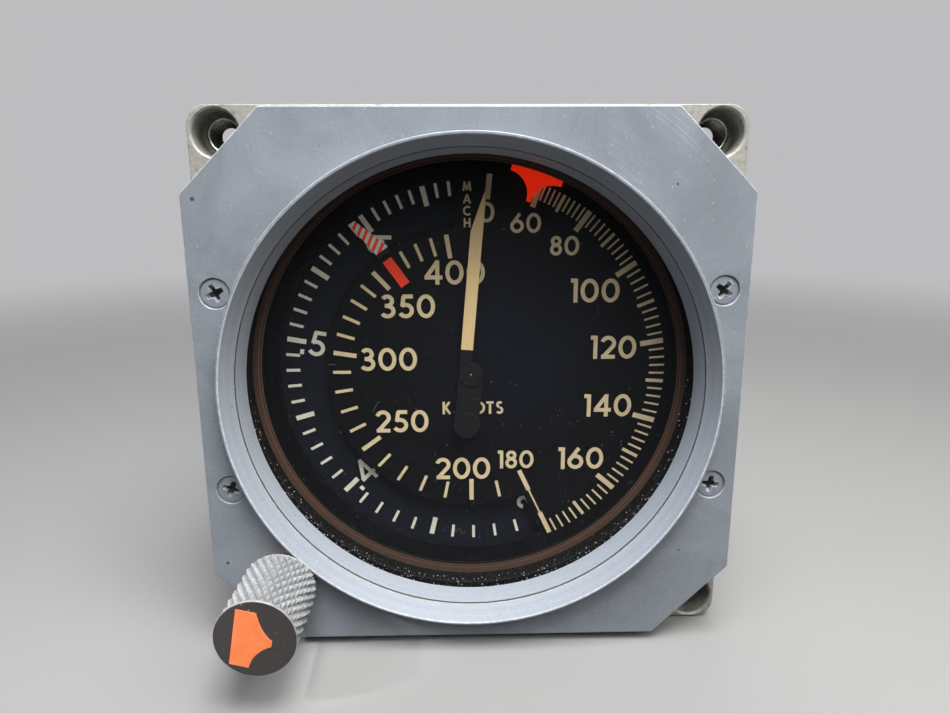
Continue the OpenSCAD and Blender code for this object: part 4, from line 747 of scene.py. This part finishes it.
# GLASS
# A flat disc of clear float glass held between the inner ring and its gasket, coated against glare.
# Fine dust lies all over it, crumbs have gathered along its lower edge, and a few hairs of lint cling to it.
GLASS_FRONT, GLASS_R, CRUMBS_FROM_R, DUST_TOP, DUST_FOOT = -9.55, 35.2, 34.2, 5, -34
HAIR_HEIGHT = 0.03

# Coated glass: clear, so only its dust, its film of grease and a weak reflection show; dust and crumbs grow
# thicker towards the foot of the dial, and the crumbs are sandy or pale.
window_glass, tree, place = new_tree("coated_glass")
split = node(tree, "SeparateXYZ", {0: place})
radius = from_axis(tree, place)
low = node(tree, "MapRange", {"Value": split.outputs[2], "From Min": DUST_TOP * MM, "From Max": DUST_FOOT * MM})
rim = node(tree, "MapRange", {"Value": radius, "From Min": CRUMBS_FROM_R * MM, "From Max": GLASS_R * MM},
    interpolation_type="SMOOTHSTEP")
heap = node(tree, "Math", {0: low, 1: rim}, operation="MULTIPLY")
dots = node(tree, "TexVoronoi", {"Vector": place, "Scale": 1 / (1.0 * MM), "Randomness": 1.0})
pick = node(tree, "SeparateColor", {0: dots.outputs["Color"]})
often = node(tree, "MapRange", {"Value": low, "To Min": 0.08, "To Max": 0.5})
rare = node(tree, "Math", {0: pick, 1: often}, operation="LESS_THAN")
speck = node(tree, "MapRange", {"Value": dots, "From Min": 0.13, "From Max": 0.06})
dust = node(tree, "Math", {0: rare, 1: speck}, operation="MULTIPLY")
bits = node(tree, "TexVoronoi", {"Vector": place, "Scale": 1 / (0.5 * MM), "Randomness": 1.0})
choose = node(tree, "SeparateColor", {0: bits.outputs["Color"]})
thick = node(tree, "Math", {0: heap, 1: 1.1}, operation="MULTIPLY")
there = node(tree, "Math", {0: choose, 1: thick}, operation="LESS_THAN")
crumb = node(tree, "MapRange", {"Value": bits, "From Min": 0.26, "From Max": 0.12})
crumbs = node(tree, "Math", {0: there, 1: crumb}, operation="MULTIPLY")
film = node(tree, "TexNoise", {"Vector": place, "Scale": 1 / (2.5 * MM), "Detail": 6.0})
haze = node(tree, "Math", {0: film, 1: low}, operation="MULTIPLY")
veil = node(tree, "MapRange", {"Value": haze, "From Min": 0.2, "From Max": 0.7, "To Min": 0.006, "To Max": 0.011})
loose = node(tree, "Math", {0: dust, 1: 0.22}, operation="MULTIPLY")
piled = node(tree, "Math", {0: crumbs, 1: 0.85}, operation="MULTIPLY")
most = node(tree, "Math", {0: loose, 1: piled}, operation="MAXIMUM")
seen = node(tree, "Math", {0: most, 1: veil}, operation="MAXIMUM")
grit = node(tree, "Mix", {0: choose.outputs[1], 6: "#B98F5C", 7: "#EDE9DC"}, data_type="RGBA")
tint = node(tree, "Mix", {0: crumbs, 6: "#C8CDD6", 7: grit}, data_type="RGBA")
skin = node(tree, "BsdfPrincipled", {"Base Color": tint, "Roughness": 0.3, "Alpha": seen, "Specular IOR Level": 0.3})
node(tree, "OutputMaterial", {"Surface": skin})
dress(window_glass, "glass")

# Lint: grey textile hairs, matt, a little lighter where they fray.
lint, tree, place = new_tree("cotton_lint")
fray = node(tree, "TexNoise", {"Vector": place, "Scale": 1 / (0.3 * MM), "Detail": 3.0})
shade = node(tree, "Mix", {0: fray, 6: "#33363B", 7: "#6E7176"}, data_type="RGBA")
skin = node(tree, "BsdfPrincipled", {"Base Color": shade, "Roughness": 0.9})
node(tree, "OutputMaterial", {"Surface": skin})


def hair(points, width, count=40):
    """A hair lying on the glass: a smooth curve through the given points, by a polynomial of their number, as a thin
    stroke."""
    points = np.asarray(points, float)
    share, fine = np.linspace(0, 1, len(points)), np.linspace(0, 1, count)
    line = np.stack([np.polyval(np.polyfit(share, points[:, k], len(points) - 1), fine) for k in (0, 1)], 1)
    return ribbon(line, width, GLASS_FRONT, HAIR_HEIGHT)


HAIRS = [
    ([(-14.5, -2.6), (-14.9, -2.75), (-15.1, -3.1), (-15.5, -3.8), (-15.7, -4.25)], 0.07),
    ([(-2.85, -24.4), (-2.5, -24.9), (-2.1, -24.5), (-1.8, -25.2), (-1.2, -24.9)], 0.06),
    ([(-22.4, 3.5), (-21.9, 3.56), (-21.2, 3.52)], 0.07),
]
piece("glass_lint", *joined([hair(points, width) for points, width in HAIRS]), "case_body", lint, slot="glass")

# BEZEL AND INNER RING
# An octagonal aluminium bezel with a raised ring turned on it, and a separate ring inside that clamps the glass.
# Both are painted blue-grey; the paint is worn along the edges and scuffed on the face.
BEZEL_HALF, BEZEL_CUT, BEZEL_ROUND, BEZEL_EDGE = 41.275, 11.8, 0.7, 0.2
BEZEL_FACE, BEZEL_BACK, LIP, SEAM = -14.0, -8.5, -16.65, -13.35
LIP_R, LIP_W, LIP_ROUND, SEAM_R, GLASS_SEAT_R, SIGHT_R = 37.75, 0.4, 0.2, 35.9, 37.0, 35.2
SCREW_X, SCREW_Z, SCREW_HOLE_R, SCREW_SINK_R = 37.5, 15.3, 1.1, 2.25
KNOB_X, KNOB_Z, BUSH_R = -30.123, -30.123, 3.02
SCREWS = np.array([[-SCREW_X, SCREW_Z], [SCREW_X, SCREW_Z], [SCREW_X, -SCREW_Z], [-SCREW_X, -SCREW_Z]])

# Blue-grey enamel: satin, its peel about 0.8 mm wide, paler and finely turned inside the raised ring, clouded by
# handling, with dark nicks, pale crumbs of dust, more of it lodged in the seam, fine scratches at one corner,
# and pale metal on its edges, partly rubbed through and partly a painted highlight where rounded edges catch the
# light. The mesh's edge value is 1 on such an edge and -1 inside a driver's recess, whose floor is painted dark as
# shade.
NICKS = [
    ((29.57, BEZEL_FACE, 30.61), 0.24), ((-39.46, BEZEL_FACE, 28.75), 0.4),
    ((-38.97, BEZEL_FACE, -27.69), 0.34), ((33.1, BEZEL_FACE, -26.5), 0.22),
]
SCRATCHED, SCRATCHES_TO, SCRATCHES_FULL, SEAM_HALF_W = (25.0, BEZEL_FACE, 34.5), 15, 5, 0.09
grey_enamel, tree, place = new_tree("blue_grey_enamel")
peel = node(tree, "TexNoise", {"Vector": place, "Scale": 1 / (0.8 * MM), "Detail": 5.0, "Roughness": 0.6})
grain = node(tree, "TexNoise", {"Vector": place, "Scale": 1 / (0.35 * MM), "Detail": 2.0})
cloud = node(tree, "TexNoise", {"Vector": place, "Scale": 1 / (13 * MM), "Detail": 6.0, "Roughness": 0.62,
    "Distortion": 0.8})
stain = node(tree, "MapRange", {"Value": cloud, "From Min": 0.36, "From Max": 0.66})
outer = node(tree, "Mix", {0: stain, 6: "#81878E", 7: "#9298A0"}, data_type="RGBA")
radius = from_axis(tree, place)
lathe = node(tree, "TexNoise", {"W": radius, "Scale": 1 / (0.3 * MM), "Detail": 4.0, "Roughness": 0.7},
    noise_dimensions="1D")
inner = node(tree, "Mix", {0: lathe, 6: "#949BA5", 7: "#A9B0B9"}, data_type="RGBA")
inside = node(tree, "MapRange", {"Value": radius, "From Min": (LIP_R - 0.2) * MM, "From Max": (LIP_R - 0.5) * MM})
shade = node(tree, "Mix", {0: inside, 6: outer, 7: inner}, data_type="RGBA")
grit = node(tree, "MapRange", {"Value": grain, "From Min": 0.3, "From Max": 0.7, "To Min": 0.93, "To Max": 1.07})
paint = node(tree, "VectorMath", {0: shade, "Scale": grit}, operation="SCALE")
line = node(tree, "MapRange", {"Value": lathe, "From Min": 0.56, "From Max": 0.7})
away = node(tree, "VectorMath", {0: place, 1: tuple(v * MM for v in SCRATCHED)}, operation="DISTANCE")
near = node(tree, "MapRange", {"Value": away, "From Min": SCRATCHES_TO * MM, "From Max": SCRATCHES_FULL * MM,
    "To Max": 0.6})
broken = node(tree, "Math", {0: near, 1: stain}, operation="MULTIPLY")
scratch = node(tree, "Math", {0: line, 1: broken}, operation="MULTIPLY")
scored = node(tree, "Mix", {0: scratch, 6: paint, 7: "#C6CAD0"}, data_type="RGBA")
dots = node(tree, "TexVoronoi", {"Vector": place, "Scale": 1 / (1.5 * MM), "Randomness": 1.0})
pick = node(tree, "SeparateColor", {0: dots.outputs["Color"]})
speck = node(tree, "MapRange", {"Value": dots, "From Min": 0.1, "From Max": 0.05, "To Max": 0.7})
is_dark = node(tree, "MapRange", {"Value": pick, "From Min": 0.80, "From Max": 0.82})
is_pale = node(tree, "MapRange", {"Value": pick.outputs[1], "From Min": 0.5, "From Max": 0.8})
dark = node(tree, "Math", {0: speck, 1: is_dark}, operation="MULTIPLY")
pale = node(tree, "Math", {0: speck, 1: is_pale}, operation="MULTIPLY")
for spot, size in NICKS:
    away = node(tree, "VectorMath", {0: place, 1: tuple(v * MM for v in spot)}, operation="DISTANCE")
    nick = node(tree, "MapRange", {"Value": away, "From Min": size * MM, "From Max": 0.5 * size * MM, "To Max": 0.85})
    dark = node(tree, "Math", {0: dark, 1: nick}, operation="MAXIMUM")
dusty = node(tree, "Mix", {0: pale, 6: scored, 7: "#DAD8D0"}, data_type="RGBA")
dirty = node(tree, "Mix", {0: dark, 6: dusty, 7: "#26282B"}, data_type="RGBA")
seam = node(tree, "Math", {0: radius, 1: SEAM_R * MM, 2: SEAM_HALF_W * MM}, operation="COMPARE")
lodged = node(tree, "MapRange", {"Value": grain, "From Min": 0.4, "From Max": 0.5, "To Max": 0.8})
filled = node(tree, "Math", {0: seam, 1: lodged}, operation="MULTIPLY")
packed = node(tree, "Mix", {0: filled, 6: dirty, 7: "#8E8474"}, data_type="RGBA")
edge = node(tree, "Attribute", attribute_name="edge", attribute_type="GEOMETRY")
# Pale edges: worn paint, and a painted highlight along rounded edges where light catches them.
chip = node(tree, "Math", {0: edge.outputs["Fac"], 1: peel}, operation="MULTIPLY")
bare_and_highlit = node(tree, "MapRange", {"Value": chip, "From Min": 0.2, "From Max": 0.55, "To Max": 0.75})
rubbed_and_highlit = node(tree, "Mix", {0: bare_and_highlit, 6: packed, 7: "#D6DADF"}, data_type="RGBA")
# Painted shade: the floors of the drivers' recesses are painted near black.
deep = node(tree, "MapRange", {"Value": edge.outputs["Fac"], "From Min": -0.1, "From Max": -0.6})
tone = node(tree, "Mix", {0: deep, 6: rubbed_and_highlit, 7: "#22201B"}, data_type="RGBA")
surface(tree, tone, peel, (0.38, 0.52), (0.14, 0.03))

# The third column is the edge value: the sight edge and the seam's edge are pale, partly wear and partly painted
# highlight.
ring_section = np.array([
    [SEAM_R + 0.1, SEAM + 0.02, 0.3], [GLASS_SEAT_R - 0.02, SEAM + 0.02, 0], [GLASS_SEAT_R - 0.02, GLASS_FRONT, 0],
    [SIGHT_R + 0.12, GLASS_FRONT, 0], [SIGHT_R, GLASS_FRONT - 0.12, 0.7], [SIGHT_R + 0.01, GLASS_FRONT - 0.2, 0],
    [SEAM_R - 0.1, SEAM + 0.3, 0], [SEAM_R - 0.06, SEAM + 0.18, 0],
])
ring_points, ring_faces = turned(ring_section[:, :2], 256)
ring = piece("inner_clamp_ring", ring_points, ring_faces, "case_body", grey_enamel, sharp=30,
    wear=np.tile(ring_section[:, 2], 256), slot="grey_paint")
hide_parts("inner_ring")

flat_half = BEZEL_HALF - BEZEL_CUT
octagon_corners = [
    [flat_half, BEZEL_HALF], [BEZEL_HALF, flat_half], [BEZEL_HALF, -flat_half], [flat_half, -BEZEL_HALF],
    [-flat_half, -BEZEL_HALF], [-BEZEL_HALF, -flat_half], [-BEZEL_HALF, flat_half], [-flat_half, BEZEL_HALF],
]
octagon = rounded(octagon_corners, BEZEL_ROUND, 6)
back_edge = [[0, BEZEL_BACK - BEZEL_EDGE, 0], [BEZEL_EDGE, BEZEL_BACK, 0], [0.8, BEZEL_BACK, 0]]
# The outer edge's rounding carries a pale edge value, partly wear and partly painted highlight.
bezel_edge = chain(round_edge(0, BEZEL_FACE, BEZEL_EDGE, 1), back_edge)
turn = np.linspace(0, np.pi / 2, 5)
rise, run = LIP_ROUND * np.sin(turn), LIP_ROUND * np.cos(turn)
foot = np.stack([LIP_R + LIP_ROUND - rise, BEZEL_FACE - LIP_ROUND + run, 0 * turn], 1)
outer_round = np.stack([LIP_R - LIP_ROUND + run, LIP + LIP_ROUND - rise, 0.8 * np.sin(2 * turn)], 1)
inner_r = LIP_R - LIP_W
cone = np.linspace([inner_r - 0.16, LIP + 0.22, 0], [SEAM_R + 0.15, SEAM - 0.32, 0], 7)
# Its edge values make the lip's rounded edges and the seam's edge pale, partly wear and partly painted highlight.
lip_profile = chain(
    [[LIP_R + 0.25, BEZEL_FACE, 0]], foot, outer_round,
    [[inner_r + 0.05, LIP, 0.8], [inner_r - 0.08, LIP + 0.06, 1.0]], cone,
    [[SEAM_R + 0.12, SEAM - 0.25, 0.55], [SEAM_R + 0.06, SEAM - 0.12, 0.55], [SEAM_R, SEAM, 0]],
    [[GLASS_SEAT_R, SEAM, 0], [GLASS_SEAT_R, BEZEL_BACK, 0], [GLASS_SEAT_R + 0.5, BEZEL_BACK, 0]],
)
lip_profile[:, 0] -= SEAM_R
sink = SCREW_SINK_R - SCREW_HOLE_R
# The countersink's rim is pale, partly wear and partly painted highlight.
screw_profile = [
    [sink + 0.14, BEZEL_FACE, 0], [sink + 0.11, BEZEL_FACE, 0.5], [sink, BEZEL_FACE + 0.11, 0.7],
    [sink, BEZEL_FACE + 0.35, 0], [0, BEZEL_FACE + 1.5, 0], [0, BEZEL_BACK, 0], [0.3, BEZEL_BACK, 0],
]
bush_profile = [
    [0.5, BEZEL_FACE, 0], [0.08, BEZEL_FACE, 0], [0, BEZEL_FACE + 0.08, 0], [0, BEZEL_BACK, 0], [0.3, BEZEL_BACK, 0],
]
bezel_lines = [(octagon, bezel_edge), (circle(SEAM_R, 288), lip_profile)]
bezel_lines += [(circle(SCREW_HOLE_R, 40, spot), screw_profile) for spot in SCREWS]
bezel_lines += [(circle(BUSH_R, 48, (KNOB_X, KNOB_Z)), bush_profile)]
bezel_points, bezel_faces, bezel_wear = plate(bezel_lines)
bezel = piece("bezel_plate", bezel_points, bezel_faces, "case_body", grey_enamel, wear=bezel_wear, slot="grey_paint")
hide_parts("bezel")

# BEZEL SCREWS
# Four small countersunk screws with cross recesses hold the bezel to the flange.
# They are steel, painted over with the bezel, sunk a little below its face; drivers have burred their recesses bright.
HEAD_R, HEAD_TOP, SHANK_R, SCREW_END = 2.1, -13.8, 1.0, -3.8
WING_W, WING_REACH, WING_TAPER, WALL_W, PILOT_R, RECESS_DEPTH = 1.1, 1.36, 0.14, 0.13, 0.62, 1.0
CROWN, BURR_W, BURR_HEIGHT, RECESS_TURNS = 0.06, 0.06, 0.03, (-26, 35, 8, 22)


def screw_head(rings=44, count=112):
    """A countersunk head and shank about Y: height over (radius, turn) is a slight crown less the cross recess, whose
    depth falls off across each wing and along it; then the cone, the shank and its end. The edge value is 0.7 on the
    recess's burred rim and walls, and -1 on its floor."""
    radius = np.linspace(0, 1, rings)[None, :] ** 0.8 * (HEAD_R - 0.12)
    turn = np.linspace(0, 2 * np.pi, count, endpoint=False)[:, None]
    across, along = np.abs(radius * np.sin(turn)), np.abs(radius * np.cos(turn))
    wing, reach = np.minimum(across, along), np.maximum(across, along)
    half = WING_W / 2 - WING_TAPER * reach
    wall = np.clip((half - wing) / WALL_W, 0, 1)
    depth = np.clip(1.25 - 0.5 * reach, 0, 1) * np.clip((WING_REACH - reach) / 0.18, 0, 1)
    cut = np.maximum(wall * depth, np.clip((PILOT_R - radius) / 0.1, 0, 1))
    burr = np.exp(-(((wing - half - BURR_W / 2) / BURR_W) ** 2)) * np.clip((WING_REACH + 0.05 - reach) / 0.1, 0, 1)
    y = HEAD_TOP + CROWN * (radius / HEAD_R) ** 2 + RECESS_DEPTH * cut - BURR_HEIGHT * burr
    outside = np.array([
        [HEAD_R, HEAD_TOP + 0.14], [HEAD_R, HEAD_TOP + 0.3], [SHANK_R, HEAD_TOP + 1.35], [SHANK_R, SCREW_END],
        [0, SCREW_END],
    ])
    # Edge value -1 marks the recess floor, where the enamel paints shade.
    edge = np.concatenate([np.where(cut > 0.75, -1, np.where(cut > 0.1, 0.7, 0.7 * burr)), np.zeros((count, 5))], 1)
    radius = np.concatenate([np.broadcast_to(radius, y.shape), np.broadcast_to(outside[:, 0], (count, 5))], 1)
    y = np.concatenate([y, np.broadcast_to(outside[:, 1], (count, 5))], 1)
    points = np.stack([radius * np.sin(turn), y, radius * np.cos(turn)], 2)
    return points.reshape(-1, 3), grid_faces(count, rings + 5), edge.ravel()


head_points, head_faces, head_edge = screw_head()
placed = [(spun(head_points, bearing) + [x, 0, z], head_faces) for (x, z), bearing in zip(SCREWS, RECESS_TURNS)]
screws = piece("bezel_screws_cross", *joined(placed), "case_body", grey_enamel, sharp=30,
    wear=np.tile(head_edge, len(SCREWS)), slot="plated_steel")
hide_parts("bezel_screws")

# KNOB
# An aluminium knob with diamond knurling, clamped on the pinion's shaft, that turns the bug ring.
# Its face holds a black disc with an orange copy of the bug's outline.
KNOB_FRONT, KNOB_BACK, KNOB_R, KNOB_FACE_R = -30.35, -17.15, 5.85, 5.68
KNURLS, KNURL_ROWS, KNURL_DEPTH, KNURL_FROM, KNURL_TO, KNOB_BORE = 29, 12, 0.42, -29.5, -17.4, 1.62
TIP_SCATTER, ROW_SCATTER, DISC_DEPTH, BAND_SINK = 0.08, 0.07, 0.5, 0.12


def knurled():
    """Pointed knurling: radius over a grid of (turn, y) is high and low by turns, like a chessboard, so each high
    crossing is the tip of a four-sided pyramid, all a little uneven; every cell is split between its low corners.
    Plain bands, ends and the bore close it."""
    column, row = np.meshgrid(np.arange(2 * KNURLS), np.arange(KNURL_ROWS), indexing="ij")
    uneven = np.random.default_rng(4).uniform(-1, 1, (2, *row.shape))
    radius = KNOB_R - TIP_SCATTER - KNURL_DEPTH * ((column + row) % 2) + TIP_SCATTER * uneven[0]
    y = KNURL_FROM + (KNURL_TO - KNURL_FROM) * row / (KNURL_ROWS - 1) + ROW_SCATTER * uneven[1]
    front = [
        [KNOB_BORE, KNOB_FRONT + DISC_DEPTH], [KNOB_FACE_R + 0.02, KNOB_FRONT + DISC_DEPTH],
        [KNOB_FACE_R + 0.02, KNOB_FRONT + 0.06], [KNOB_R - BAND_SINK, KNOB_FRONT + 0.1],
        [KNOB_R - BAND_SINK, KNURL_FROM - 0.4],
    ]
    back = [[KNOB_R - 0.3, KNOB_BACK], [KNOB_BORE, KNOB_BACK]]
    ends = [np.broadcast_to(np.array(part)[None], (2 * KNURLS, len(part), 2)) for part in (front, back)]
    radius = np.concatenate([ends[0][..., 0], radius, ends[1][..., 0]], 1)
    y = np.concatenate([ends[0][..., 1], y, ends[1][..., 1]], 1)
    turn = np.pi * np.arange(2 * KNURLS)[:, None] / KNURLS
    points = np.stack([KNOB_X + radius * np.sin(turn), y, KNOB_Z + radius * np.cos(turn)], 2).reshape(-1, 3)
    index = np.arange(len(points)).reshape(radius.shape)
    index = np.concatenate([index, index[:, :1]], 1)
    after = np.roll(index, -1, 0)
    a, b, c, d = index[:, :-1], after[:, :-1], after[:, 1:], index[:, 1:]
    is_high = (np.add.outer(np.arange(a.shape[0]), np.arange(a.shape[1])) + len(front)) % 2 == 0
    faces = [np.where(is_high, one, other) for one, other in ((a, b), (b, c), (d, a), (c, d), (d, a), (b, c))]
    return points, np.stack(faces, 2).reshape(-1, 3).tolist()


# Knurled aluminium: satin grey metal with fine dirt, and painted shade that darkens the grooves against the tips.
knurled_aluminium, tree, place = new_tree("knurled_aluminium")
centred = node(tree, "VectorMath", {0: place, 1: (KNOB_X * MM, 0.0, KNOB_Z * MM)}, operation="SUBTRACT")
radius = from_axis(tree, centred)
# Painted shade: the grooves are darker, and rougher, than the tips.
high = node(tree, "MapRange", {"Value": radius, "From Min": (KNOB_R - 0.5) * MM, "From Max": (KNOB_R - 0.05) * MM})
grime = node(tree, "TexNoise", {"Vector": place, "Scale": 1 / (0.8 * MM), "Detail": 4.0})
tips_and_grime = node(tree, "Math", {0: high, 1: grime}, operation="MULTIPLY")
groove_shade_and_grime = node(tree, "MapRange", {"Value": tips_and_grime, "From Min": 0.05, "From Max": 0.5})
shade = node(tree, "Mix", {0: groove_shade_and_grime, 6: "#909294", 7: "#C2C3C4"}, data_type="RGBA")
rough = node(tree, "MapRange", {"Value": groove_shade_and_grime, "To Min": 0.65, "To Max": 0.48})
skin = node(tree, "BsdfPrincipled", {"Base Color": shade, "Metallic": 0.35, "Roughness": rough})
node(tree, "OutputMaterial", {"Surface": skin})
knob = piece("knurled_knob", *knurled(), "bug_knob", knurled_aluminium, sharp=20, slot="bright_aluminium")
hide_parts("knob")

# Black anodised disc: dark brown-black and satin, with pale scuffs about 1.5 mm long and specks of dust.
anodised, tree, place = new_tree("black_anodised_aluminium")
scratch = node(tree, "TexNoise", {"Vector": place, "Scale": 1 / (1.5 * MM), "Detail": 8.0, "Roughness": 0.75})
scuff = node(tree, "MapRange", {"Value": scratch, "From Min": 0.6, "From Max": 0.75, "To Max": 0.5})
shade = node(tree, "Mix", {0: scuff, 6: "#423E3D", 7: "#8A847E"}, data_type="RGBA")
dust = specks(tree, place, 0.9, (0.7, 1.0), (0.16, 0.06))
dusty = node(tree, "Mix", {0: dust, 6: shade, 7: "#B9B2A8"}, data_type="RGBA")
surface(tree, dusty, scratch, (0.38, 0.6))
disc_shape = slab(circle(KNOB_FACE_R, 96, (KNOB_X, KNOB_Z)), KNOB_FRONT, KNOB_FRONT + DISC_DEPTH, 0.08)
disc = piece("knob_face_disc", *disc_shape, "bug_knob", anodised, slot="black_paint")
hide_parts("knob_face")

# Orange paint: thick, filled by hand, a little chalky.
orange_paint = mottled("orange_paint", 0.7, 5.0, ("#FF7840", "#FF9860"), (0.5, 0.7))
MARK_BASE = [(-3.79, -3.7), (-2.26, 4.65)]
MARK_UPPER = [(0.5, 3.98), (1.0, 0.75), (2.38, -0.3)]
MARK_LOWER = [(2.19, -1.22), (-0.4, -1.95), (-1.12, -4.4)]


def hollow(ends, count=12):
    """Points along a bent side: a quadratic curve from the first point to the last, pulled towards the middle one."""
    share = np.linspace(0, 1, count)[:, None]
    first, pull, last = np.asarray(ends, float)
    return (1 - share) ** 2 * first + 2 * share * (1 - share) * pull + share**2 * last


mark_line = np.concatenate([MARK_BASE, hollow(MARK_UPPER), hollow(MARK_LOWER)]) + [KNOB_X, KNOB_Z]
mark = slab(mark_line, KNOB_FRONT - 0.05, KNOB_FRONT + 0.1, 0.03)
piece("knob_bug_mark", *mark, "bug_knob", orange_paint, slot="red_paint")

# STAGE
# A plain pale floor under the flange's lower edge and the case's rear, soft light from above, and the camera.
# The floor is tilted to touch both, because the part stays level in its own frame.
# In metres: half the floor's width, how far off it has faded out, and how far it is whole.
FLOOR_REACH, FLOOR_GONE, FLOOR_FULL = 3.0, 0.55, 0.15
floor_mesh = bpy.data.meshes.new("floor")
tilt = (FLANGE_HALF_Z - BODY_R) / BARREL_LENGTH
sides = [(x * FLOOR_REACH, y * FLOOR_REACH) for x, y in ((-1, -1), (1, -1), (1, 1), (-1, 1))]
corners = [(x, y, y * tilt - FLANGE_HALF_Z * MM) for x, y in sides]
floor_mesh.from_pydata(corners, [], [(0, 1, 2, 3)])
floor = bpy.data.objects.new("floor", floor_mesh)
bpy.context.scene.collection.objects.link(floor)

# Pale floor: matt and plain, gone from sight beyond half a metre; the camera sees it paler than the light it gives.
pale_floor, tree, place = new_tree("pale_floor")
away = node(tree, "VectorMath", {0: place}, operation="LENGTH")
fade = node(tree, "MapRange", {"Value": away, "From Min": FLOOR_GONE, "From Max": FLOOR_FULL},
    interpolation_type="SMOOTHSTEP")
ray = node(tree, "LightPath")
shade = node(tree, "Mix", {0: ray.outputs["Is Camera Ray"], 6: "#565656", 7: "#9B9B9A"}, data_type="RGBA")
skin = node(tree, "BsdfPrincipled", {"Base Color": shade, "Roughness": 0.8, "Alpha": fade})
node(tree, "OutputMaterial", {"Surface": skin})
floor_mesh.materials.append(pale_floor)

# Studio light: a plain pale backdrop all round, which itself lights the part only dimly, so that the lamps do the
# modelling.
world = bpy.data.worlds.new("studio")
world.use_nodes = True
tree = world.node_tree
tree.nodes.clear()
ray = node(tree, "LightPath")
backdrop = node(tree, "Mix", {0: ray.outputs["Is Camera Ray"], 6: "#3C3E42", 7: "#BDBDBF"}, data_type="RGBA")
sky = node(tree, "Background", {"Color": backdrop, "Strength": 1.0})
node(tree, "OutputWorld", {"Surface": sky})
bpy.context.scene.world = world


def hang(lamp, spot, target):
    """Hangs a lamp at a spot, pointed at a target."""
    holder = bpy.data.objects.new(lamp.name, lamp)
    holder.location = spot
    holder.rotation_euler = (Vector(target) - Vector(spot)).to_track_quat("-Z", "Y").to_euler()
    bpy.context.scene.collection.objects.link(holder)


# Square lamps: name, place, target, width, watts and tint, all lengths in metres.
LIGHTS = [
    ("overhead", (0.03, -0.12, 0.28), (0.0, -0.015, 0.0), 0.16, 1.42, "#FFFFFF"),
    ("key", (0.05, -0.34, 0.32), (0.0, -0.015, 0.0), 0.24, 0.9, "#FFFFFF"),
    ("left_fill", (-0.6, -0.35, 0.6), (0.0, 0.0, 0.0), 0.5, 1.2, "#EAF0FF"),
    ("right_fill", (0.6, -0.35, 0.6), (0.0, 0.0, 0.0), 0.5, 2.3, "#FFFAF2"),
    ("rear_fill", (0.0, 0.45, 0.75), (0.0, 0.1, 0.0), 0.6, 2.6, "#FFFFFF"),
]
for name, spot, target, size, power, tint in LIGHTS:
    lamp = bpy.data.lights.new(name, "AREA")
    lamp.size, lamp.energy, lamp.color = size, power, colour(tint)[:3]
    hang(lamp, spot, target)

# A narrow spotlight on the knob alone, from its upper left, hard enough to part the knurls with shadows.
BEAM_FROM, BEAM_TO = (-0.203, -0.124, 0.137), (-0.033, -0.024, -0.031)
BEAM_POWER, BEAM_SOFT, BEAM_ANGLE, BEAM_BLEND = 2.4, 0.006, math.radians(5.0), 1.0
beam = bpy.data.lights.new("knob_spot", "SPOT")
beam.energy, beam.shadow_soft_size, beam.spot_size, beam.spot_blend = BEAM_POWER, BEAM_SOFT, BEAM_ANGLE, BEAM_BLEND
hang(beam, BEAM_FROM, BEAM_TO)

# The camera: its lens in pixels of the frame's width, its place in metres and the way it faces.
FRAME_WIDTH, FOCAL_PIXELS, SENSOR_WIDTH = 950, 678.02, 36.0
CAMERA_SPOT = (-0.001556, -0.113223, 0.027338)
CAMERA_RIGHT, CAMERA_UP = (0.99977, -0.02127, -0.00364), (0.0081, 0.21357, 0.97689)
CAMERA_AHEAD, CLIP_NEAR, CLIP_FAR = (0.02, 0.9767, -0.2137), 0.005, 20.0
lens = bpy.data.cameras.new("camera")
lens.sensor_width = SENSOR_WIDTH
lens.lens = FOCAL_PIXELS * SENSOR_WIDTH / FRAME_WIDTH
lens.clip_start, lens.clip_end = CLIP_NEAR, CLIP_FAR
camera = bpy.data.objects.new("camera", lens)
axes = Matrix((CAMERA_RIGHT, CAMERA_UP, tuple(-v for v in CAMERA_AHEAD))).transposed().to_4x4()
camera.matrix_world = Matrix.Translation(CAMERA_SPOT) @ axes
bpy.context.scene.collection.objects.link(camera)
bpy.context.scene.camera = camera
bpy.context.scene.view_settings.view_transform = "Standard"
